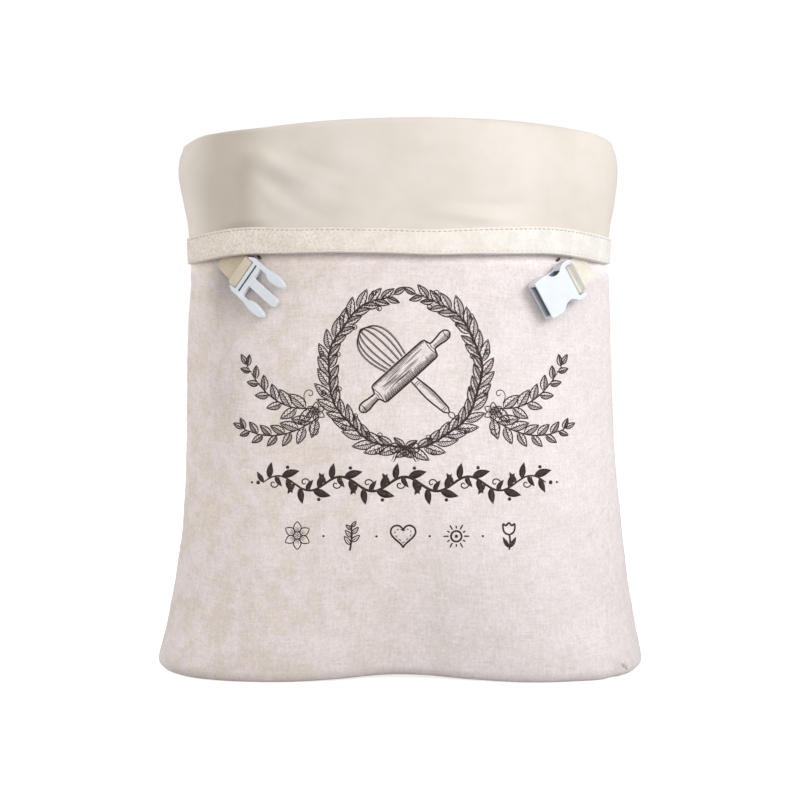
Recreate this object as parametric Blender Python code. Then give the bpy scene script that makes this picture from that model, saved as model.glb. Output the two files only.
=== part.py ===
"""Linen bread bag that stands open, with its top turned out and down as a cuff.

The frame is the bag's own: +X across the front from left to right, +Y from the front panel to the back
panel, +Z up, and the origin on the surface under the middle of the base. The tables are in millimetres, and
MM turns them into metres when a mesh is made.

A cloth panel is followed from the bottom seam outwards along the base, up the wall, over the rim and down
the cuff. Every face of every cloth is that one path at its own inset: 0 is the linen's outer face, more lies
towards the inside of the bag on the wall, and so towards the outside on the cuff, where the cloths have
turned over.
"""

from math import cos, pi, radians, sin

import bmesh
import bpy
import numpy as np
from mathutils import Matrix, Vector

MM = 0.001

# Cloths, thickness, and the gap that two pieces keep
LINEN = 1.2
LINING = 1.0
BINDING = 1.0
WEBBING = 1.0
CLEAR = 0.3
SEAM = CLEAR / 2

# Main sizes of the bag
RIM_TOP = 361.0
BASE_BEND = 12.0  # radius between the base and the wall
CUFF_STANDS_OFF = 5.0  # between the wall and the cuff, at the middle of a panel
CUFF_STANDS_OFF_AT_SEAM = 3.6
HEM_HEIGHT = 272.6  # lower edge of the binding at the middle of a panel
HEM_RISE = 2.4  # it rises this much over the straps
BINDING_HEIGHT = 17.0
BINDING_INSIDE_HEIGHT = 14.5
SPREAD_ON_WALL = 1.35  # how far an inset moves the side seam, for each millimetre
SPREAD_ON_CUFF = 1.15

# Sections of the wall: height above the surface, half-width to the left and to the right seam, depth of the
# panel at its middle, and how the depth falls off towards the seams, as (1 - across^fullness)^taper
WALL_COLUMNS = ("height", "left", "right", "depth", "fullness", "taper")
WALL_SECTIONS = np.array(
    (
        (0.0, 166.0, 166.2, 57.0, 3.0, 0.55),
        (10.0, 165.2, 165.9, 57.2, 3.0, 0.55),
        (30.0, 160.4, 162.2, 56.5, 2.9, 0.60),
        (60.0, 154.6, 157.4, 55.5, 2.7, 0.66),
        (100.0, 149.4, 152.3, 54.5, 2.5, 0.72),
        (150.0, 147.3, 147.8, 53.5, 2.3, 0.76),
        (215.0, 146.6, 145.4, 53.0, 2.2, 0.80),
        (262.0, 143.9, 143.9, 52.0, 2.2, 0.80),
        (276.0, 139.2, 138.2, 50.0, 2.2, 0.80),
        (298.0, 139.5, 138.4, 49.8, 2.2, 0.80),
        (316.0, 142.8, 141.4, 49.8, 2.2, 0.80),
        (338.0, 146.4, 143.6, 50.0, 2.2, 0.80),
        (346.0, 145.6, 143.0, 50.0, 2.2, 0.80),
        (358.0, 141.0, 139.4, 49.8, 2.2, 0.80),
    )
)

# Soft folds: the middle of each, the angle of its run from +X, half its length and width, and how far it
# stands out
FOLD_COLUMNS = ("across", "height", "angle", "length", "width", "out")
FRONT_FOLDS = (
    (4.0, 0.0, 90.0, 150.0, 46.0, -8.5),
    (-94.0, 22.0, 90.0, 80.0, 30.0, 2.0),
    (98.0, 20.0, 90.0, 80.0, 30.0, 3.0),
    (-122.0, 58.0, 62.0, 70.0, 13.0, -3.0),
    (126.0, 52.0, 118.0, 66.0, 12.0, -3.2),
    (-62.0, 120.0, 84.0, 110.0, 20.0, -2.0),
    (52.0, 150.0, 96.0, 100.0, 22.0, -1.8),
    (-112.0, 190.0, 80.0, 80.0, 14.0, -1.8),
    (104.0, 196.0, 100.0, 80.0, 16.0, -1.6),
)
BACK_FOLDS = (
    (-6.0, 0.0, 90.0, 130.0, 40.0, -6.0),
    (-88.0, 24.0, 90.0, 80.0, 30.0, 2.0),
    (92.0, 22.0, 90.0, 80.0, 30.0, 2.5),
    (-120.0, 60.0, 60.0, 66.0, 13.0, -2.6),
    (118.0, 64.0, 116.0, 70.0, 13.0, -2.8),
    (-40.0, 150.0, 98.0, 100.0, 22.0, -2.2),
    (70.0, 130.0, 82.0, 110.0, 20.0, -1.8),
)
FRONT_CUFF_FOLDS = (
    (-82.0, 334.0, -16.0, 46.0, 8.0, 1.2),
    (-74.0, 320.0, -22.0, 50.0, 7.0, -1.3),
    (-66.0, 307.0, -14.0, 44.0, 6.0, 1.0),
    (42.0, 303.0, 8.0, 50.0, 8.0, -1.2),
    (-122.0, 322.0, 84.0, 40.0, 10.0, -1.4),
    (112.0, 326.0, 100.0, 36.0, 12.0, -1.0),
)
BACK_CUFF_FOLDS = (
    (60.0, 324.0, 14.0, 60.0, 9.0, -1.3),
    (-70.0, 316.0, -10.0, 50.0, 8.0, 1.1),
    (118.0, 322.0, 84.0, 40.0, 12.0, -1.2),
)
FOLDS_STOP_AT = 260.0  # the wall is plain above this height, where the cuff hides it
FOLDS_FADE = 25.0
PLAIN_BELOW_RIM, PLAIN_BELOW_RIM_FADE = 2.0, 14.0
PLAIN_OVER_BINDING, PLAIN_OVER_BINDING_FADE = 1.0, 10.0

# The front edge of the base lifts off the surface at its middle
BASE_LIFT = 3.0
BASE_LIFT_WIDTH = 42.0
BASE_LIFT_FADE = 60.0  # height at which it has gone
BASE_LIFT_FROM, BASE_LIFT_TO = 0.5, 0.95  # shares of the way from the bottom seam to the front

# How far the rim hangs below its highest point, by the place across the panel
RIM_DROOP_AT = (-1.0, -0.95, -0.86, -0.62, -0.3, 0.0, 0.5, 0.8, 0.95, 1.0)
RIM_DROOP = (5.0, 2.4, 1.8, 2.6, 1.0, 0.0, 0.2, 0.9, 2.2, 4.6)

FRONT, BACK = -1, 1

# Faces of the mesh
COLUMNS = 22
STRAP_COLUMNS = 4
STRAP_WALL_ROWS = 5
WINDOW_STEPS = 10
CROWDING = 0.9  # 0 spaces the columns evenly, 1 as the sine of an even angle
FLOOR_ROWS, BEND_ROWS, RIM_ROWS = 3, 4, 5
WALL_ROWS = (12, 28, 52, 84, 120, 160, 204, 240, 260, 267, 272, 277, 300, 326, 344)  # heights
CUFF_ROWS = (0.0, 0.05, 0.13, 0.28, 0.5, 0.75, 1.0)  # shares of the way from the rim to the raw edge
LEAST_FLOOR_RUN, LEAST_BEND_RUN = 3.6, 6.4
BEND_SHARE = 0.8  # the bend takes up no more than this much of the panel's depth
NO_BEND = 1e-6
SHARP_ANGLE = 40.0

# Buckles: where the middle of each lies on the front panel, and the angle of its axis from +X, from strap to
# free end
BUCKLE_CLEARANCE = 2.4  # from the linen to the back of a buckle
BUCKLE_EDGE, BUCKLE_EDGE_ANGLE = 0.25, 50.0
PRONG_AT, PRONG_ANGLE = (-97.2, 259.5), -42.0
SOCKET_AT, SOCKET_ANGLE = (98.1, 251.6), 213.0

# A buckle half is drawn from its strap edge at y = 0 to its free end, with its back at z = 0. An outline
# lists x, y down its right side. A cut is a box: its name, width, near and far end, and low and high face. A
# bar is the near and far side and the low and high face of what its strap goes round.
PRONG_FRAME = ((0.0, 13.0), (12.6, 13.0), (13.4, 11.0), (13.4, 4.2), (11.6, 0.9), (0.0, 0.9))
PRONG_ARM = (
    (10.6, 11.5),
    (13.4, 11.5),
    (13.5, 16.0),
    (13.9, 19.0),
    (14.6, 22.0),
    (14.9, 27.0),
    (14.2, 32.0),
    (12.9, 34.8),
    (11.0, 35.0),
    (9.6, 32.5),
    (8.6, 28.0),
    (8.3, 24.5),
    (9.0, 21.0),
    (10.6, 18.8),
)
PRONG_MIDDLE = ((0.0, 37.2), (2.2, 37.2), (3.2, 35.4), (3.2, 11.5), (0.0, 11.5))
FRAME_FACES, ARM_FACES, MIDDLE_FACES = (0.4, 3.8), (0.0, 4.2), (0.7, 3.4)
PRONG_CUTS = (
    ("strap slot", 20.8, 3.5, 5.75, -1.0, 5.0),
    ("second slot", 20.8, 8.3, 9.6, -1.0, 5.0),
    ("space over the bar", 20.8, -1.0, 4.5, 3.2, 5.0),
    ("space under the bar", 20.8, -1.0, 4.5, -1.0, 1.0),
)
PRONG_BAR = (0.9, 3.5, 1.0, 3.2)
PRONG_HALF_LENGTH = 8.95  # from the strap edge to the place that PRONG_AT names

SOCKET_OUTLINE = (
    (0.0, 30.5),
    (12.3, 30.5),
    (12.8, 29.6),
    (13.4, 22.0),
    (12.6, 19.6),
    (11.6, 16.5),
    (11.5, 13.0),
    (12.2, 9.5),
    (13.5, 6.5),
    (13.6, 2.4),
    (12.6, 0.6),
    (0.0, 0.4),
)
SOCKET_THICK = 8.8
SOCKET_CUTS = (
    ("hollow", 21.0, 8.4, 32.5, 1.2, 7.6),
    ("strap slot", 20.8, 3.0, 6.2, -1.0, 9.8),
    ("space over the bar", 20.8, -1.0, 3.6, 5.2, 9.8),
    ("space under the bar", 20.8, -1.0, 3.6, -1.0, 2.6),
)
SOCKET_BAR = (0.4, 3.0, 2.6, 5.2)
SOCKET_HALF_LENGTH = 15.25
WINDOW_MIDDLE = (16.0, 14.2)  # a half ellipse let into each side
WINDOW_REACH, WINDOW_HALF_LENGTH = 6.7, 6.2
WINDOW_FACES = (1.2, 9.8)

# Straps: each leaves the cuff along the wall, climbs under its bar, and turns back over it
STRAP_WIDTH = 20.0
STRAP_OFF_WALL = 0.45
STRAP_OFF_BAR = 0.4
STRAP_LEFT_FROM, STRAP_RIGHT_FROM = -31.0, -39.0  # hidden ends under the cuff, along the strap from its buckle
STRAP_CLIMB = (  # distance before the bar, share of the climb to it, and how much it follows the curved wall
    (7.5, 0.0, 1.0),
    (5.5, 0.1, 1.0),
    (3.5, 0.45, 0.7),
    (1.8, 0.85, 0.3),
    (0.5, 1.0, 0.0),
)
STRAP_ROUND_IN, STRAP_ROUND_UP = 0.3, 0.5  # what its turn round the bar loses at its corners
STRAP_TAIL = ((0.0, 0.0), (1.3, 0.5), (2.3, 1.4))  # distance past the bar, and how far it has dropped

FINISHES = {  # colour, roughness
    "linen": ((0.80, 0.74, 0.71), 0.9),
    "lining": ((0.84, 0.79, 0.73), 0.6),
    "binding": ((0.90, 0.86, 0.78), 0.85),
    "webbing": ((0.84, 0.80, 0.64), 0.85),
    "buckle": ((0.86, 0.89, 0.94), 0.35),
}


def smooth(values):
    """0 below 0, 1 above 1, and an easy S between them."""
    inside = np.clip(values, 0.0, 1.0)
    return inside * inside * (3.0 - 2.0 * inside)


def section(name, height):
    """A column of WALL_SECTIONS at any height, on a cubic through its rows that never overshoots them."""
    heights = WALL_SECTIONS[:, 0]
    values = WALL_SECTIONS[:, WALL_COLUMNS.index(name)]
    secants = np.diff(values) / np.diff(heights)
    before, after = secants[:-1], secants[1:]
    same_way = before * after > 0.0
    eased = np.where(same_way, 2.0 * before * after / np.where(same_way, before + after, 1.0), 0.0)
    slopes = np.concatenate(([0.0], eased, [secants[-1]]))
    height = np.clip(height, heights[0], heights[-1])
    row = np.clip(np.searchsorted(heights, height, side="right") - 1, 0, len(heights) - 2)
    step = heights[row + 1] - heights[row]
    t = (height - heights[row]) / step
    return (
        values[row] * (1 + 2 * t) * (1 - t) ** 2
        + slopes[row] * step * t * (1 - t) ** 2
        + values[row + 1] * t * t * (3 - 2 * t)
        + slopes[row + 1] * step * t * t * (t - 1)
    )


def half_width(across, height):
    return np.where(across < 0, section("left", height), section("right", height))


def fall_off(across, height):
    """1 at the middle of a panel and 0 at its seams."""
    inside = np.clip(1.0 - np.abs(across) ** section("fullness", height), 0.0, 1.0)
    return inside ** section("taper", height)


def folds(table, x, height):
    """The soft folds of a table added up: each is a bell across its run and fades out along it."""
    total = np.zeros(np.broadcast(x, height).shape)
    for row in table:
        fold = dict(zip(FOLD_COLUMNS, row))
        turn = radians(fold["angle"])
        run = (x - fold["across"]) * cos(turn) + (height - fold["height"]) * sin(turn)
        side = (height - fold["height"]) * cos(turn) - (x - fold["across"]) * sin(turn)
        fade = np.clip(1.0 - (run / fold["length"]) ** 2, 0.0, 1.0) ** 2
        total = total + fold["out"] * fade * np.exp(-((side / fold["width"]) ** 2))
    return total


def wall_depth(across, height, inset, face):
    """How far the wall stands from the middle plane."""
    falling = fall_off(across, height)
    x = across * half_width(across, height)
    table = FRONT_FOLDS if face == FRONT else BACK_FOLDS
    plain_under_cuff = 1.0 - smooth((height - FOLDS_STOP_AT + FOLDS_FADE) / FOLDS_FADE)
    relief = folds(table, x, height) * np.sqrt(falling) * plain_under_cuff
    return (section("depth", height) - inset) * falling + relief


def cuff_depth(across, height, inset, face):
    """How far the turned-down cuff stands from the middle plane."""
    falling = fall_off(across, height)
    x = across * half_width(across, height)
    table = FRONT_CUFF_FOLDS if face == FRONT else BACK_CUFF_FOLDS
    below_rim = rim_height(across) - PLAIN_BELOW_RIM - height
    over_binding = height - hem_height(across) - BINDING_HEIGHT - PLAIN_OVER_BINDING
    shown = smooth(below_rim / PLAIN_BELOW_RIM_FADE) * smooth(over_binding / PLAIN_OVER_BINDING_FADE)
    relief = folds(table, x, height) * falling * shown
    return (section("depth", height) + CUFF_STANDS_OFF + inset) * falling + relief


def hem_height(across):
    """Lower edge of the binding, which rises over the two straps."""
    return HEM_HEIGHT + HEM_RISE * np.exp(-(((np.abs(across) - 0.72) / 0.22) ** 2))


def half_turn(across, height):
    """Half of the space between the wall and the cuff, which is the radius of the linen's turn at the rim."""
    middle, seam = CUFF_STANDS_OFF / 2, CUFF_STANDS_OFF_AT_SEAM / 2
    return seam + (middle - seam) * fall_off(across, height)


def rim_height(across):
    """Height of the middle of the turn at the rim."""
    outside = CUFF_STANDS_OFF / 2 + LINEN + CLEAR + LINING
    return RIM_TOP - outside - np.interp(across, RIM_DROOP_AT, RIM_DROOP)


def body_path(across, inset, face):
    """Base, bend and wall of a panel: rows of x, distance from the middle plane, and height.

    Each column runs out along the base, round a bend of BASE_BEND and up the wall. Next to the side seams the
    base runs out of depth, and the same rows climb the seam instead.
    """
    reach = wall_depth(across, BASE_BEND, inset, face)
    radius = np.clip(np.minimum(BASE_BEND - inset, BEND_SHARE * reach), NO_BEND, None)
    floor_run = np.maximum(reach - radius, 0.0)
    bend_run = radius * pi / 2
    whole = floor_run + bend_run + rim_height(across) - inset - radius
    first = np.maximum(floor_run, LEAST_FLOOR_RUN)
    second = first + np.maximum(bend_run, LEAST_BEND_RUN)
    runs = [first * row / FLOOR_ROWS for row in range(FLOOR_ROWS)]
    runs += [first + (second - first) * row / BEND_ROWS for row in range(BEND_ROWS)]
    up_wall = (np.array(WALL_ROWS) - BASE_BEND) / (RIM_TOP - BASE_BEND - CUFF_STANDS_OFF)
    runs += [second + (whole - second) * share for share in (*up_wall, 1.0)]
    run = np.stack(runs)

    turn = np.clip((run - floor_run) / radius, 0.0, pi / 2)
    climbed = np.maximum(run - floor_run - bend_run, 0.0)
    height = inset + radius * (1.0 - np.cos(turn)) + climbed
    on_base = np.minimum(run, floor_run) + radius * np.sin(turn)
    on_wall = wall_depth(across, height, inset, face)
    away = np.where(climbed > 0.0, on_wall, on_base)
    x = across * (half_width(across, height) - SPREAD_ON_WALL * inset)
    if face == FRONT:
        way_out = away / np.maximum(reach, 1.0)
        near_edge = smooth((way_out - BASE_LIFT_FROM) / (BASE_LIFT_TO - BASE_LIFT_FROM))
        lift = BASE_LIFT * np.exp(-((x / BASE_LIFT_WIDTH) ** 2)) * near_edge
        height = height + lift * (1.0 - smooth(height / BASE_LIFT_FADE))
    return np.stack((x, away, height), axis=-1)


def rim_path(across, inset, face):
    """The turn over the rim, half an ellipse from the top of the wall to the top of the cuff."""
    middle = rim_height(across)
    turn = (pi * np.arange(1, RIM_ROWS) / RIM_ROWS)[:, None]
    over = (1.0 - np.cos(turn)) / 2
    spread = SPREAD_ON_WALL + (SPREAD_ON_CUFF - SPREAD_ON_WALL) * over
    half = half_width(across, middle) + CUFF_STANDS_OFF_AT_SEAM * over - spread * inset * np.cos(turn)
    depth = section("depth", middle) + CUFF_STANDS_OFF * over - inset * np.cos(turn)
    height = middle + (half_turn(across, middle) + inset) * np.sin(turn)
    return np.stack((across * half, depth * fall_off(across, middle), height), axis=-1)


def cuff_point(across, height, inset, face):
    """A point of the cuff as x, distance from the middle plane, and height."""
    half = half_width(across, height) + CUFF_STANDS_OFF_AT_SEAM + SPREAD_ON_CUFF * inset
    return np.stack((across * half, cuff_depth(across, height, inset, face), height), axis=-1)


def cuff_path(across, inset, face):
    """The cuff, from the rim down to the raw edges inside the binding."""
    top = rim_height(across)
    edge = hem_height(across) + BINDING + CLEAR
    rows = [top + (edge - top) * share for share in CUFF_ROWS]
    return cuff_point(across, np.stack(rows), inset, face)


def across_panel():
    """Columns from the left seam at -1 to the right seam at 1, closer together towards the seams."""
    even = np.linspace(-1.0, 1.0, COLUMNS + 1)
    return CROWDING * np.sin(even * pi / 2) + (1.0 - CROWDING) * even


def panel_skin(inset, face):
    """One face of a cloth, from the bottom seam to the raw edge, as rows of points in millimetres."""
    across = across_panel()
    rows = np.concatenate(
        (body_path(across, inset, face), rim_path(across, inset, face), cuff_path(across, inset, face))
    )
    return np.stack((rows[..., 0], face * (rows[..., 1] + SEAM), rows[..., 2]), axis=-1)


def material(name):
    made = bpy.data.materials.get(name) or bpy.data.materials.new(name)
    made.use_nodes = True
    colour, roughness = FINISHES[name]
    shader = made.node_tree.nodes["Principled BSDF"]
    shader.inputs["Base Color"].default_value = (*colour, 1.0)
    shader.inputs["Roughness"].default_value = roughness
    shader.inputs["Metallic"].default_value = 0.0
    return made


def add_object(name, mesh, finish):
    made = bpy.data.objects.new(name, mesh)
    bpy.context.scene.collection.objects.link(made)
    mesh.materials.append(material(finish))
    mesh.shade_smooth()
    mesh.set_sharp_from_angle(angle=radians(SHARP_ANGLE))


def mesh_of(name, points, faces):
    """A mesh from points in millimetres, its faces turned to point out."""
    mesh = bpy.data.meshes.new(name)
    mesh.from_pydata((np.asarray(points) * MM).tolist(), [], faces)
    work = bmesh.new()
    work.from_mesh(mesh)
    bmesh.ops.recalc_face_normals(work, faces=work.faces)
    work.to_mesh(mesh)
    work.free()
    return mesh


def grid_faces(rows, columns, first, ring=False):
    """Quads of a grid whose points start at index first, its columns closed into a ring if asked."""
    last = columns if ring else columns - 1
    return [
        (
            first + row * columns + column,
            first + row * columns + (column + 1) % columns,
            first + (row + 1) * columns + (column + 1) % columns,
            first + (row + 1) * columns + column,
        )
        for row in range(rows - 1)
        for column in range(last)
    ]


def cloth(name, outer, inner, finish):
    """A closed sheet between two grids of the same shape, with its four edges filled."""
    rows, columns = outer.shape[:2]
    behind = rows * columns
    faces = grid_faces(rows, columns, 0) + grid_faces(rows, columns, behind)
    border = [row * columns for row in range(rows)]
    border += [(rows - 1) * columns + column for column in range(1, columns)]
    border += [row * columns + columns - 1 for row in range(rows - 2, -1, -1)]
    border += list(range(columns - 2, 0, -1))
    for here, there in zip(border, border[1:] + border[:1]):
        faces.append((here, there, behind + there, behind + here))
    points = np.concatenate((outer.reshape(-1, 3), inner.reshape(-1, 3)))
    add_object(name, mesh_of(name, points, faces), finish)


def panels():
    """Linen and lining, a front and a back of each."""
    lining_from = LINEN + CLEAR
    for side, face in (("front", FRONT), ("back", BACK)):
        cloth(f"linen_{side}", panel_skin(0.0, face), panel_skin(LINEN, face), "linen")
        outer, inner = panel_skin(lining_from, face), panel_skin(lining_from + LINING, face)
        cloth(f"lining_{side}", outer, inner, "lining")


def binding():
    """Tape folded over the raw edges of the cuff, all the way round: a U section, open at the top."""
    outside = LINEN + CLEAR + LINING + CLEAR
    inside = -CLEAR
    round_over = 0.5 * BINDING
    section_points = (
        (outside + BINDING, BINDING_HEIGHT),
        (outside + BINDING, round_over),
        (outside + BINDING - round_over, 0.0),
        (inside - BINDING + round_over, 0.0),
        (inside - BINDING, round_over),
        (inside - BINDING, BINDING_INSIDE_HEIGHT),
        (inside, BINDING_INSIDE_HEIGHT),
        (inside, BINDING),
        (outside, BINDING),
        (outside, BINDING_HEIGHT),
    )
    across = across_panel()
    rings = []
    for inset, above in section_points:
        halves = []
        for face in (FRONT, BACK):
            half = cuff_point(across, hem_height(across) + above, inset, face)
            half = np.stack((half[:, 0], face * (half[:, 1] + SEAM), half[:, 2]), axis=-1)
            halves.append(half if face == FRONT else half[::-1])
        rings.append(np.concatenate(halves))
    points = np.stack(rings)
    count, around = points.shape[:2]
    faces = grid_faces(count, around, 0, ring=True)
    last = (count - 1) * around
    for column in range(around):
        after = (column + 1) % around
        faces.append((last + column, last + after, after, column))
    add_object("binding", mesh_of("binding", points.reshape(-1, 3), faces), "binding")


def front_depth_at(x, height):
    """Distance from the middle plane to the outside of the linen, at x and height on the front wall."""
    half = np.where(x < 0, section("left", height), section("right", height))
    return wall_depth(x / half, height, 0.0, FRONT) + SEAM


class PanelPlace:
    """A place on the front panel: a point on the linen, an axis along it, an axis across, and the way out."""

    def __init__(self, at, angle):
        x, height = at
        step = 1.0
        slope_x = (front_depth_at(x + step, height) - front_depth_at(x - step, height)) / (2 * step)
        slope_z = (front_depth_at(x, height + step) - front_depth_at(x, height - step)) / (2 * step)
        gradient = np.array((slope_x, 1.0, slope_z))
        self.steepness = np.linalg.norm(gradient)
        self.out = -gradient / self.steepness
        self.point = np.array((x, -float(front_depth_at(x, height)), height))
        run = np.array((cos(radians(angle)), 0.0, sin(radians(angle))))
        run[1] = -(run @ self.out) / self.out[1]
        self.along = run / np.linalg.norm(run)
        self.across = np.cross(self.along, self.out)

    def flat(self, along, across, up):
        """Points on the flat place, up from the linen there."""
        along, across, up = np.broadcast_arrays(along, across, up)
        return (
            self.point
            + along[..., None] * self.along
            + across[..., None] * self.across
            + up[..., None] * self.out
        )

    def curved(self, along, across, up):
        """The same, but up from the bag's curved wall wherever the point lies."""
        rise = np.zeros(np.broadcast(along, across).shape)
        for _ in range(4):
            points = self.flat(along, across, rise)
            off = points[..., 1] + front_depth_at(points[..., 0], points[..., 2])
            rise = rise + off / self.steepness
        return self.flat(along, across, rise + up)

    def matrix(self, middle):
        """Places a buckle built along +Y, from its strap edge, with its back at z = 0 and its front up."""
        frame = Matrix.Identity(4)
        origin = self.point + BUCKLE_CLEARANCE * self.out - middle * self.along
        for row in range(3):
            frame[row][0] = self.across[row]
            frame[row][1] = self.along[row]
            frame[row][2] = self.out[row]
            frame[row][3] = origin[row] * MM
        return frame


def strap(name, place, path):
    """A webbing strap on a path of distance along its place, height, and how much it follows the wall."""
    along, up, curved = np.array(path).T
    ways = np.stack((np.gradient(along), np.gradient(up)), axis=-1)
    ways /= np.linalg.norm(ways, axis=1, keepdims=True)
    faces = []
    for side in (-0.5, 0.5):
        run = (along - side * WEBBING * ways[:, 1])[:, None]
        rise = (up + side * WEBBING * ways[:, 0])[:, None]
        width = np.linspace(-STRAP_WIDTH / 2, STRAP_WIDTH / 2, STRAP_COLUMNS + 1)[None, :]
        flat = place.flat(run, width, rise)
        following = place.curved(run, width, rise)
        share = smooth(curved)[:, None, None]
        faces.append(flat + share * (following - flat))
    cloth(name, faces[1], faces[0], "webbing")


def prism(name, outline, low, high):
    """An outline in x and y, in millimetres, raised from low to high."""
    work = bmesh.new()
    ends = [[work.verts.new(Vector((x, y, z)) * MM) for x, y in outline] for z in (low, high)]
    work.faces.new(ends[0])
    work.faces.new(ends[1])
    count = len(outline)
    for corner in range(count):
        after = (corner + 1) % count
        work.faces.new((ends[0][corner], ends[0][after], ends[1][after], ends[1][corner]))
    bmesh.ops.recalc_face_normals(work, faces=work.faces)
    mesh = bpy.data.meshes.new(name)
    work.to_mesh(mesh)
    work.free()
    made = bpy.data.objects.new(name, mesh)
    bpy.context.scene.collection.objects.link(made)
    return made


def combine(body, tool, operation):
    """Joins a tool to a body, or cuts it out, and keeps the result as the body's mesh."""
    modifier = body.modifiers.new(operation.lower(), "BOOLEAN")
    modifier.operation = operation
    modifier.solver = "EXACT"
    modifier.object = tool
    view = bpy.context.evaluated_depsgraph_get()
    result = bpy.data.meshes.new_from_object(body.evaluated_get(view))
    body.modifiers.clear()
    body.data = result
    bpy.data.objects.remove(tool)


def mirrored(half):
    """A whole outline from its right half, listed from the far end on the axis to the near end on the axis."""
    return list(half) + [(-x, y) for x, y in reversed(half) if x > 0]


def box(name, width, near, far, low, high):
    return prism(name, ((-width / 2, near), (width / 2, near), (width / 2, far), (-width / 2, far)), low, high)


def cut_all(body, cuts):
    for name, width, near, far, low, high in cuts:
        combine(body, box(name, width, near, far, low, high), "DIFFERENCE")


def finish_buckle(body, name, place, middle):
    """Breaks the edges of a buckle half and lays it on the panel."""
    body.name = name
    body.data.name = name
    body.data.materials.clear()
    body.data.materials.append(material("buckle"))
    bevel = body.modifiers.new("rounded edges", "BEVEL")
    bevel.width = BUCKLE_EDGE * MM
    bevel.segments = 1
    bevel.limit_method = "ANGLE"
    bevel.angle_limit = radians(BUCKLE_EDGE_ANGLE)
    body.data.transform(place.matrix(middle))


def prong_buckle(place):
    """Frame with the strap bar and two slots, two springy arms with paddles, and a guide prong."""
    body = prism("frame", mirrored(PRONG_FRAME), *FRAME_FACES)
    cut_all(body, PRONG_CUTS)
    for side in (1, -1):
        arm = [(side * x, y) for x, y in PRONG_ARM]
        combine(body, prism("arm", arm, *ARM_FACES), "UNION")
    combine(body, prism("prong", mirrored(PRONG_MIDDLE), *MIDDLE_FACES), "UNION")
    finish_buckle(body, "buckle_prong", place, PRONG_HALF_LENGTH)


def socket_buckle(place):
    """Hollow body with a mouth for the prongs, a window in each side, and a bar for the strap."""
    body = prism("socket", mirrored(SOCKET_OUTLINE), 0.0, SOCKET_THICK)
    cut_all(body, SOCKET_CUTS)
    across, along = WINDOW_MIDDLE
    for side in (1, -1):
        turns = [pi / 2 + pi * step / WINDOW_STEPS for step in range(WINDOW_STEPS + 1)]
        window = [
            (side * (across + WINDOW_REACH * cos(turn)), along + WINDOW_HALF_LENGTH * sin(turn))
            for turn in turns
        ]
        combine(body, prism("window", window, *WINDOW_FACES), "DIFFERENCE")
    finish_buckle(body, "buckle_socket", place, SOCKET_HALF_LENGTH)


def hairpin(bar, middle, back_to):
    """Path of a strap's middle line: out of the cuff along the wall, under its bar and back over it."""
    near, far, bar_low, bar_high = bar
    near, far = near - middle, far - middle
    turn = STRAP_OFF_BAR + WEBBING / 2
    low, high = BUCKLE_CLEARANCE + bar_low - turn, BUCKLE_CLEARANCE + bar_high + turn
    tip = far + turn + STRAP_OFF_BAR
    on_wall = STRAP_OFF_WALL + WEBBING / 2
    wall_end = near - STRAP_CLIMB[0][0]
    step = (wall_end - back_to) / STRAP_WALL_ROWS
    path = [(back_to + row * step, on_wall, 1.0) for row in range(STRAP_WALL_ROWS)]
    climb = low - on_wall
    path += [(near - before, on_wall + share * climb, curved) for before, share, curved in STRAP_CLIMB]
    path += [
        (far, low, 0.0),
        (tip - STRAP_ROUND_IN, low + STRAP_ROUND_UP, 0.0),
        (tip, (low + high) / 2, 0.0),
        (tip - STRAP_ROUND_IN, high - STRAP_ROUND_UP, 0.0),
        (far, high, 0.0),
    ]
    return path + [(near - past, high - dropped, 0.0) for past, dropped in STRAP_TAIL]


def build():
    for old in list(bpy.data.objects):
        bpy.data.objects.remove(old)
    panels()
    binding()
    prong_place = PanelPlace(PRONG_AT, PRONG_ANGLE)
    prong_buckle(prong_place)
    strap("strap_left", prong_place, hairpin(PRONG_BAR, PRONG_HALF_LENGTH, STRAP_LEFT_FROM))
    socket_place = PanelPlace(SOCKET_AT, SOCKET_ANGLE)
    socket_buckle(socket_place)
    strap("strap_right", socket_place, hairpin(SOCKET_BAR, SOCKET_HALF_LENGTH, STRAP_RIGHT_FROM))


build()
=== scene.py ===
"""Looks of the linen bread bag: cloths, tape, webbing, buckle halves, stitches and the printed ornament.

The shapes are worked out in millimetres, in the bag's own frame, and MM turns them into metres when a mesh is made.
A cloth panel is followed from the bottom seam along the base, up the wall, over the rim and down the cuff, and each
face of each cloth is that path at its own inset.
"""

from math import cos, pi, radians, sin

import bmesh
import bpy
import numpy as np
from mathutils import Matrix, Vector


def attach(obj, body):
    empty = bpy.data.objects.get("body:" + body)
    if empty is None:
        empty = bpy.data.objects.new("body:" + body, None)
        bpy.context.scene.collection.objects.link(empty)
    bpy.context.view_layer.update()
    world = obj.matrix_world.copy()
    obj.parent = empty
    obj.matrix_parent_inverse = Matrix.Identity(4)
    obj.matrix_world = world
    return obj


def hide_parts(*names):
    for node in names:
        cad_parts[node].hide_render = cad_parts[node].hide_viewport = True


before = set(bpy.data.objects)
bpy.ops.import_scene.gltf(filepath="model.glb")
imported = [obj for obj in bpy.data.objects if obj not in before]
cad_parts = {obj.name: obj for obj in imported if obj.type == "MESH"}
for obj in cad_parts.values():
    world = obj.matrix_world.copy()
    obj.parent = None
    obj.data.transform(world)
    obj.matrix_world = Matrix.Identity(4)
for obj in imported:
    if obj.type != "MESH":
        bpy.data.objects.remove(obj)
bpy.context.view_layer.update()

MM = 0.001
FRONT, BACK = -1, 1

# ---- Sizes ----

# Thickness of each cloth, and the space kept between two of them
LINEN, LINING, BINDING, WEBBING = 1.2, 1.0, 1.0, 1.0
CLEAR = 0.3
SEAM = CLEAR / 2

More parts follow.
